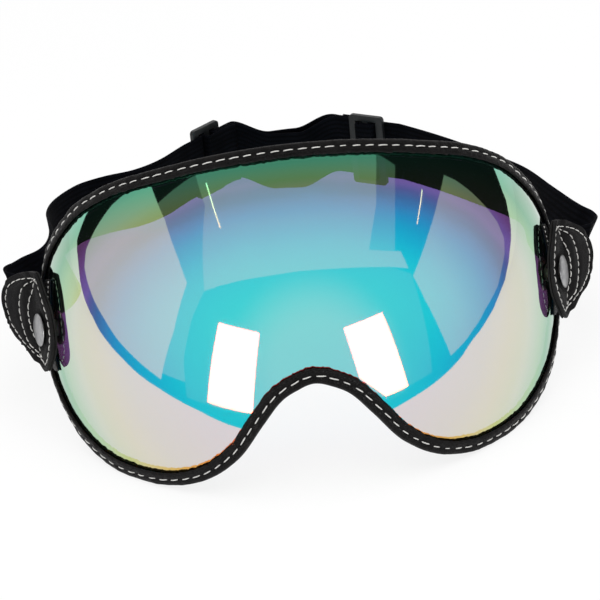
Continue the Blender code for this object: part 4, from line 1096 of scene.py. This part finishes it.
UNDER_LEVEL = SLIDER_HALF_THICKNESS + GAP + STRAP_THICKNESS / 2
OVER_LEVEL = UNDER_LEVEL + STRAP_THICKNESS + GAP
LOOP_LINE = SLIDER_HALF_BAR + GAP + STRAP_THICKNESS / 2
WEAVE_LINE = LOOP_LINE + STRAP_THICKNESS + GAP
SLIDER_HALF_LENGTH = WEAVE_LINE + STRAP_THICKNESS / 2 + SLOT_END_PLAY + SLIDER_END_BAR


def band_lift(side, across, depth):
    """How much higher than the strap's sheet a band runs: up behind its tab, and down between the sliders."""
    tab = LEAF_LIFTS[side] + TAB_RISES[side] * ramp(depth, 0.0, TAB_RISE_LENGTH)
    sag = BACK_SAG * ramp(across, SAG_LEFT, SAG_LENGTH) * (1 - ramp(across, SAG_RIGHT, SAG_LENGTH))
    left = LEFT_RISE * (1 - ramp(across, SAG_LEFT, LEFT_RISE_LENGTH))
    return tab * (1 - ramp(depth, FALL_START, FALL_LENGTH)) - sag + left


def strap_places(side, plan, level):
    """Places on the strap's sheet, level at the tabs and rising behind them."""
    plan, level = np.asarray(plan, float), np.asarray(level, float)
    across, back = plan[..., 0], plan[..., 1]
    angle = np.clip((back - RISE_START) / RISE_LENGTH, 0.0, 1.0) * RISE_ANGLE
    radius = RISE_LENGTH / RISE_ANGLE
    beyond = np.maximum(0.0, back - RISE_START - RISE_LENGTH)
    depth = np.minimum(back, RISE_START) + radius * np.sin(angle) + beyond * math.cos(RISE_ANGLE)
    height = radius * (1 - np.cos(angle)) + beyond * math.sin(RISE_ANGLE)
    lift = band_lift(side, across, depth)
    slope = angle + np.arctan((band_lift(side, across, depth + GAP) - lift) / GAP)
    lean = angle * ramp(depth, LEAN_START, LEAN_LENGTH)
    level = level / np.cos(slope - lean)
    return np.stack([across, depth - level * np.sin(lean), height + lift + level * np.cos(lean)], -1)


def slider_ways(side):
    """A slider's middle in plan, the way along the strap there, and the way its open side faces."""
    turn = SLIDER_TURNS[side]
    along = np.array([-side * math.cos(turn), math.sin(turn)])
    facing = np.array([side * math.sin(turn), math.cos(turn)]) * -side
    return np.array([side * SLIDER_PLACES[side][0], SLIDER_PLACES[side][1]]) + facing * UNDER_LEVEL, along, facing


def at_slider(side, places):
    centre, along, facing = slider_ways(side)
    return [centre + along * a + facing * f for a, f in places]


def bend_round(centre, start, end):
    """Places round one corner of the strap, from a bearing to another in degrees."""
    turns = [math.radians(start + (end - start) * step / CORNER_STEPS) for step in range(CORNER_STEPS + 1)]
    return [(centre[0] + CORNER * math.cos(turn), centre[1] + CORNER * math.sin(turn)) for turn in turns]


def weave_line():
    """Under one end bar, over the middle bar, and under the other end bar."""
    half_way = bend_round((-WEAVE_LINE - CORNER, CORNER - UNDER_LEVEL), -90, 0)
    half_way += bend_round((CORNER - WEAVE_LINE, OVER_LEVEL - CORNER), 180, 90)
    return half_way + [(-a, f) for a, f in reversed(half_way)]


def sewn_line():
    """Round the middle bar and back on itself to the tail that is sewn down."""
    far = OVER_LEVEL + STRAP_THICKNESS + GAP
    line = bend_round((LOOP_LINE + CORNER, CORNER - OVER_LEVEL), 270, 180)
    line += bend_round((LOOP_LINE - CORNER, UNDER_LEVEL - CORNER), 0, 90)
    line += bend_round((CORNER - LOOP_LINE, UNDER_LEVEL - CORNER), 90, 180)
    line += bend_round((CORNER - LOOP_LINE, CORNER - far), 180, 270)
    return line + [(SEWN_TAIL, -far)]


def back_run(side, start, end):
    """The run between the sliders, which bows out a little where it is slack."""
    reach = np.linalg.norm(end - start) * BACK_PULL
    t = np.linspace(0.0, 1.0, BACK_STATIONS)[:, None]
    line = hermite(t, start, slider_ways(side)[1] * reach, end, -slider_ways(-side)[1] * reach)
    return line + np.array([0.0, 1.0]) * BACK_SLACKS[side] * np.sin(HALF_TURN * t**SLACK_LEAN) ** 2


def filled(line, step):
    """A line with points no further apart than a step, keeping its own points."""
    out = [line[0]]
    for start, end in zip(line, line[1:]):
        count = max(1, int(np.ceil(np.linalg.norm(np.subtract(end, start)) / step)))
        out += [np.asarray(start) + (np.asarray(end) - start) * k / count for k in range(1, count + 1)]
    return np.array(out)


band_parts = {}
for band_side, tag in SIDES:
    core = LEAF_BACK_BASE + LEAF_LEATHER + GAP + STRAP_THICKNESS / 2
    tab_line, _ = leaf_places(band_side, np.linspace(STRAP_START, LEAD_IN[1], TAB_STATIONS), 0.0, core)
    tab_line = list(tab_line[:, :2])
    route = [np.array([band_side * LOOP_HALF_WIDTH * x, LOOP_DEPTH * y]) for x, y in ROUTES[band_side]]
    entry = at_slider(band_side, [(-STRAIGHT_RUN, -UNDER_LEVEL), (-SLIDER_HALF_LENGTH, -UNDER_LEVEL)])
    lead_in, _ = leaf_places(band_side, np.array(LEAD_IN), 0.0, core)
    free = smooth_line([*lead_in[:, :2]] + route + entry, ROUTE_STEPS)[ROUTE_STEPS:-ROUTE_STEPS]
    free = list(spaced(free, FREE_STATIONS))
    weave_run = at_slider(band_side, [(-STRAIGHT_RUN, -UNDER_LEVEL)] + weave_line() + [(STRAIGHT_RUN, -UNDER_LEVEL)])
    far_start = at_slider(-band_side, [(STRAIGHT_RUN, -OVER_LEVEL)])[0]
    back = back_run(band_side, weave_run[-1], far_start)
    sewn_run = [far_start] + at_slider(-band_side, sewn_line())
    half_way = BACK_STATIONS // 2
    band_parts[band_side] = [filled(tab_line[:-1] + free, RUN_STEP), filled(weave_run, CURL_STEP),
                             back[:half_way + 1], back[half_way:], filled(sewn_run, CURL_STEP)]
    print(tag, "band parts:", [len(part) for part in band_parts[band_side]])

# %% [markdown]
# The band's section is 28 millimetres by 1.2, with edges rolled round as a woven edge is. Its weave
# pattern follows a UV map in metres, along and across the band, so the ribs stay the same size on every
# bend. Where a band leaves its tab it turns back along a slanting line, so its lower edge is tucked in
# further than its upper edge. The lengths share their end stations, so they meet without a step.

# %% The strap's lengths
TURN_TUCKS = {-1: 0.0150, 1: 0.0156}
TURN_BASES = {-1: 0.25, 1: 0.0}
TURN_AHEADS = {-1: 0.0018, 1: 0.0012}
TURN_LENGTH = 0.0120
TURN_RAISES = {-1: 0.0040, 1: 0.0028}
TURN_EASE = 2.2
TURN_END = 0.060
TURN_END_LENGTH = 0.070
MITRE_LIMIT = 0.5
FACE_STATIONS = 15
ROLL_STATIONS = 7
EDGE_ROLL = STRAP_THICKNESS / 2
straight = STRAP_WIDTH / 2 - EDGE_ROLL
levels = np.linspace(-straight, straight, FACE_STATIONS)
rolls = np.linspace(0.0, HALF_TURN, ROLL_STATIONS)[1:-1]
section = [(1.0, level) for level in levels]
section += [(math.cos(turn), straight + EDGE_ROLL * math.sin(turn)) for turn in rolls]
section += [(-1.0, level) for level in levels[::-1]]
section += [(-math.cos(turn), -straight - EDGE_ROLL * math.sin(turn)) for turn in rolls]
section = np.array(section)
NAMES = ("run", "weave", "back_near", "back_far", "sewn_end")
for band_side, tag in SIDES:
    parts = band_parts[band_side]
    line = np.concatenate([parts[0]] + [part[1:] for part in parts[1:]])
    steps = unit(np.diff(line, axis=0))
    before = np.concatenate([steps[:1], steps])
    after = np.concatenate([steps, steps[-1:]])
    ways = unit(before + after)
    stretch = 1 / np.maximum((ways * after).sum(-1), MITRE_LIMIT)
    offset = np.stack([-ways[:, 1], ways[:, 0]], -1) * (STRAP_THICKNESS / 2 * stretch)[:, None]
    run = run_along(line)
    plan = line[:, None] + offset[:, None] * section[None, :, :1]
    from_rivet = run[:, None] + STRAP_START
    level = np.broadcast_to(section[:, 1], plan.shape[:2])
    low_share = TURN_BASES[band_side] + (1 - TURN_BASES[band_side]) * np.clip(1 / 2 - level / STRAP_WIDTH, 0.0, 1.0)
    leaf_exit = LEAF_TIP_PLACE + (LEAF_REAR - LEAF_TIP_PLACE) * leaf_spread(level, LEAF_HALF_HEIGHT)
    turned = np.clip((from_rivet - leaf_exit + TURN_AHEADS[band_side]) / TURN_LENGTH, 0.0, 1.0)
    tuck = low_share * (1 - (1 - turned) ** TURN_EASE) * (1 - ramp(from_rivet, TURN_END, TURN_END_LENGTH))
    plan = plan - np.array([band_side, 0.0]) * (TURN_TUCKS[band_side] * tuck)[..., None]
    grid = to_world(strap_places(band_side, plan, level + TURN_RAISES[band_side] * tuck))
    first = 0
    for number, part in enumerate(parts):
        last = first + len(part) - 1
        rows = grid[first:last + 1]
        around = len(section)
        faces = grid_faces(len(rows), around, close_columns=True)
        if number == 0:
            faces.append(tuple(range(around)))
        if number == len(parts) - 1:
            faces.append(tuple((len(rows) - 1) * around + index for index in range(around)))
        piece = add_piece("band_" + tag + "_" + NAMES[number], rows.reshape(-1, 3), faces, elastic)
        layer = piece.data.uv_layers.new(name="weave")
        index = np.empty(len(piece.data.loops), np.int64)
        piece.data.loops.foreach_get("vertex_index", index)
        places = np.stack([run[first + index // around], section[index % around, 1] + STRAP_WIDTH / 2], -1)
        layer.data.foreach_set("uv", places.astype(np.float32).ravel())
        own, other = tag + "_slider", ("right" if tag == "left" else "left") + "_slider"
        if number == 0:
            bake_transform(piece)
        elif number == 1:
            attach(piece, own)
        elif number == 2:
            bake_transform(piece)
        elif number == 3:
            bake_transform(piece)
        else:
            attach(piece, other)
        if number == 0:
            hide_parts("strap_" + tag)
        first = last
    nodes["slider_" + tag].data.materials[0] = acetal
print("strap lengths made")

# %% [markdown]
# ## Floor, light and what the lens mirrors
# The goggle stands on a plain pale floor. The lens is a mirror, so it shows the room: a dim wall behind
# the camera, bright softboxes, two thin strips of light, a grey panel on the left, a darker one on the
# right, and the white table that runs towards the wall. All but the table and the world are flat cards
# that only reflections see, since in the photo the room shows nowhere but in the lens.

# %% Floor and world
WHITE = (1.0, 1.0, 1.0, 1.0)
FLOOR_COLOUR = (0.92, 0.92, 0.92, 1.0)
FLOOR_GLOW = 1.03
GLOW_SHARE = 0.80
FLOOR_REACH = 3
FILL_LIGHT = 0.55


def flat_card(name, corners, material):
    mesh = bpy.data.meshes.new(name)
    mesh.from_pydata([tuple(map(float, corner)) for corner in corners], [], [tuple(range(len(corners)))])
    mesh.materials.append(material)
    card = add_object(name, mesh)
    return card


floor_finish, tree, _ = new_material("pale_table")
matt = put(tree, "ShaderNodeBsdfDiffuse", {"Color": FLOOR_COLOUR}).outputs[0]
glow = put(tree, "ShaderNodeEmission", {"Color": WHITE, "Strength": FLOOR_GLOW}).outputs[0]
show(tree, put(tree, "ShaderNodeMixShader", {0: GLOW_SHARE, 1: matt, 2: glow}).outputs[0])
flat_card("table", [(x * FLOOR_REACH, y * FLOOR_REACH, 0) for x, y in ((-1, -1), (1, -1), (1, 1), (-1, 1))],
          floor_finish)

world = bpy.data.worlds.new("pale_room")
bpy.context.scene.world = world
world.use_nodes = True
tree = world.node_tree
tree.nodes.clear()
rays = put(tree, "ShaderNodeLightPath").outputs
seen = calc(tree, "ADD", calc(tree, "ADD", rays["Is Camera Ray"], rays["Is Glossy Ray"]),
            rays["Is Transmission Ray"], clamp=True)
air = put(tree, "ShaderNodeBackground", {"Color": WHITE, "Strength": carry(tree, seen, 0.0, 1.0, FILL_LIGHT, 1.0)})
put(tree, "ShaderNodeOutputWorld", {"Surface": air.outputs[0]})
print("floor and world made")

# %% Cards that only reflections see
WALL = -0.486
SIDE_WALL = 3.0
PANEL = 0.41
SOFTBOX_WALL = -0.478
STRIP_HEIGHT = 0.6


def glow_material(name, level):
    """A plain glow of one strength, or of a strength worked out from the card's places."""
    material, tree, place = new_material(name)
    strength = level(tree, place) if callable(level) else level
    show(tree, put(tree, "ShaderNodeEmission", {"Color": WHITE, "Strength": strength}).outputs[0])
    return material


def reflection_card(name, corners, glow):
    card = flat_card(name, corners, glow)
    card.visible_camera = card.visible_diffuse = card.visible_transmission = card.visible_shadow = False


def upright(y, outline):
    return [(x, y, z) for x, z in outline]


def sideways(x, outline):
    return [(x, y, z) for y, z in outline]


def fading_spot(tree, place):
    """Brightest on the low wall behind the camera, and dim at its sides."""
    reach = put(tree, "ShaderNodeVectorMath", {0: place, 1: (0.02, -0.484, 0.10)}, operation="DISTANCE")
    return carry(tree, reach.outputs["Value"], 0.10, 0.29, 0.32, 0.07, way="SMOOTHSTEP")


def fading_back(tree, place):
    """Dimmer towards the back of the right panel."""
    split = put(tree, "ShaderNodeSeparateXYZ", {"Vector": place}).outputs
    return carry(tree, split["Y"], -0.30, -0.06, 0.37, 0.22)


black = glow_material("black_room", 0.012)
bright = glow_material("softbox_glow", 12.0)
reflection_card("dark_wall", upright(WALL - 0.002, [(-6, 0), (6, 0), (6, 5.0), (-6, 5.0)]), black)
reflection_card("wall_upper", upright(WALL, [
    (-0.355, 0.345), (-0.20, 0.358), (0.0, 0.363), (0.17, 0.358), (0.334, 0.353), (0.431, 0.345), (0.431, 0.418),
    (0.270, 0.423), (0.328, 0.519), (0.444, 0.695), (0.623, 1.003), (1.187, 1.921), (2.9, 4.9), (-2.9, 4.9),
    (-1.187, 1.921), (-0.55, 0.90)]), glow_material("upper_wall_glow", 0.31))
reflection_card("wall_lower", upright(WALL + 0.002, [
    (-0.355, 0.339), (-0.20, 0.356), (0.0, 0.362), (0.17, 0.357), (0.334, 0.352), (0.431, 0.323), (0.40, 0.003),
    (-0.419, 0.003), (-0.43, 0.122), (-0.40, 0.247)]), glow_material("lower_wall_glow", fading_spot))
reflection_card("wall_shade", upright(WALL - 0.001, [
    (0.270, 0.423), (0.400, 0.424), (0.468, 0.530), (0.605, 0.729), (0.893, 1.113), (1.297, 1.628), (1.187, 1.921),
    (0.623, 1.003), (0.444, 0.695), (0.328, 0.519)]), glow_material("wall_shade_glow", 0.13))
reflection_card("wall_left", upright(WALL - 0.001, [
    (-0.60, 0.05), (-0.30, 0.05), (-0.30, 0.40), (-0.52, 0.90), (-1.187, 1.921), (-2.2, 1.921)]),
    glow_material("left_wall_glow", 0.17))
reflection_card("dark_apron", [(x, y, 0.002) for x, y in (
    (-3.0, 0.05), (-2.616, 0.006), (-1.67, -0.133), (-1.352, -0.231), (-1.089, -0.293), (-0.923, -0.340),
    (-0.593, -0.350), (-0.441, -0.365), (-0.307, -0.344), (-0.219, -0.322), (-0.129, -0.277), (-0.091, -0.262),
    (0.10, -0.275), (0.15, -0.290), (0.30, -0.310), (0.42, -0.335), (0.55, -0.375), (0.657, -0.395),
    (0.777, -0.380), (0.994, -0.380), (1.196, -0.347), (1.726, -0.345), (2.425, -0.280), (3.0, -0.140),
    (3.0, -0.487), (-3.0, -0.487))], black)
reflection_card("dark_left", sideways(-SIDE_WALL, [
    (-0.487, 0.0), (0.05, 0.0), (0.229, 0.015), (0.421, 0.043), (0.597, 0.077), (0.752, 0.122), (0.884, 0.181),
    (1.038, 0.228), (1.219, 0.26), (1.376, 0.31), (1.396, 0.45), (1.401, 0.69), (1.25, 1.18), (0.90, 4.0),
    (-0.487, 4.0)]), black)
reflection_card("dark_right", sideways(SIDE_WALL, [
    (-0.487, 0.0), (-0.14, 0.0), (0.023, 0.039), (0.201, 0.066), (0.326, 0.100), (0.542, 0.125), (0.704, 0.159),
    (0.847, 0.207), (0.969, 0.272), (1.113, 0.324), (1.193, 0.428), (1.57, 0.65), (1.80, 1.20), (2.20, 4.0),
    (-0.487, 4.0)]), black)
reflection_card("left_softbox", upright(SOFTBOX_WALL, [
    (-0.265, 0.230), (-0.129, 0.197), (-0.161, 0.003), (-0.311, 0.011)]), bright)
reflection_card("right_softbox", upright(SOFTBOX_WALL, [
    (0.104, 0.187), (0.233, 0.209), (0.275, 0.004), (0.195, 0.003), (0.125, 0.065)]), bright)
reflection_card("left_panel", sideways(-PANEL, [
    (-0.431, 0.346), (-0.404, 0.181), (-0.351, 0.032), (-0.252, 0.049), (-0.213, 0.056), (-0.176, 0.062),
    (-0.120, 0.076), (-0.064, 0.086), (-0.017, 0.098), (0.010, 0.108), (0.028, 0.132), (0.024, 0.180),
    (0.011, 0.258), (-0.016, 0.335), (-0.041, 0.409), (-0.080, 0.422), (-0.217, 0.417), (-0.348, 0.380)]),
    glow_material("left_panel_glow", 0.57))
reflection_card("right_panel", sideways(PANEL, [
    (-0.459, 0.298), (-0.443, 0.206), (-0.412, 0.101), (-0.384, 0.020), (-0.306, 0.031), (-0.269, 0.040),
    (-0.234, 0.046), (-0.205, 0.054), (-0.173, 0.058), (-0.132, 0.063), (-0.100, 0.074), (-0.060, 0.085),
    (-0.036, 0.100), (-0.030, 0.130), (-0.036, 0.165), (-0.052, 0.232), (-0.068, 0.286), (-0.086, 0.326),
    (-0.174, 0.327), (-0.297, 0.318)]), glow_material("right_panel_glow", fading_back))
strip_glow = glow_material("strip_glow", 3.0)
for name, outline in (
        ("left_strip", [(-0.3140, -0.243), (-0.3105, -0.243), (-0.3250, -0.462), (-0.3285, -0.462)]),
        ("right_strip", [(0.654, -0.275), (0.659, -0.275), (0.700, -0.485), (0.695, -0.485)])):
    reflection_card(name, [(x, y, STRIP_HEIGHT) for x, y in outline], strip_glow)

# %% The lamp
LAMP_PLACE = Vector((0.05, -0.25, 1.30))
LAMP_AIM = Vector((0.0, 0.0, 0.05))
lamp_data = bpy.data.lights.new("overhead", "AREA")
lamp_data.size = 1.3
lamp_data.energy = 11.0
lamp = add_object("overhead", lamp_data)
lamp.location = LAMP_PLACE
lamp.rotation_euler = (LAMP_AIM - LAMP_PLACE).to_track_quat("-Z", "Y").to_euler()
lamp.visible_camera = lamp.visible_glossy = False
print("lamp above the floor, in metres:", round(LAMP_PLACE.z, 3))

# %% [markdown]
# ## Camera
# The photo was taken from straight in front and level with the goggle, about a metre away, with the
# goggle lying slightly turned in the picture. The camera repeats this.

# %% The camera
CAMERA_REACH = 1.1
CAMERA_SIDE = math.radians(-1.4)
CAMERA_UP = math.radians(1.4)
CAMERA_TURN = math.radians(6.35)
LENS_LENGTH = 162.68
PICTURE_WIDTH = 600
SHIFT = (-1.8, 0.4)
forward = np.array([-math.sin(CAMERA_SIDE) * math.cos(CAMERA_UP), math.cos(CAMERA_SIDE) * math.cos(CAMERA_UP),
                    -math.sin(CAMERA_UP)])
right = np.array([math.cos(CAMERA_SIDE), math.sin(CAMERA_SIDE), 0.0])
above = np.cross(right, forward)
turned_right = right * math.cos(CAMERA_TURN) - above * math.sin(CAMERA_TURN)
turned_above = right * math.sin(CAMERA_TURN) + above * math.cos(CAMERA_TURN)
axes = way_to_world(np.stack([turned_right, turned_above, -forward]))
seat = to_world(-forward * CAMERA_REACH)
camera_data = bpy.data.cameras.new("photo_camera")
camera_data.lens = LENS_LENGTH
camera_data.sensor_width = 36.0
camera_data.shift_x = SHIFT[0] / PICTURE_WIDTH
camera_data.shift_y = SHIFT[1] / PICTURE_WIDTH
camera_data.clip_start = 0.01
camera = add_object("photo_camera", camera_data)
camera.matrix_world = Matrix([[*axes[:, row], seat[row]] for row in range(3)] + [[0.0, 0.0, 0.0, 1.0]])
bpy.context.scene.camera = camera
bpy.context.scene.view_settings.view_transform = "Standard"
print("camera at:", np.round(seat, 3))
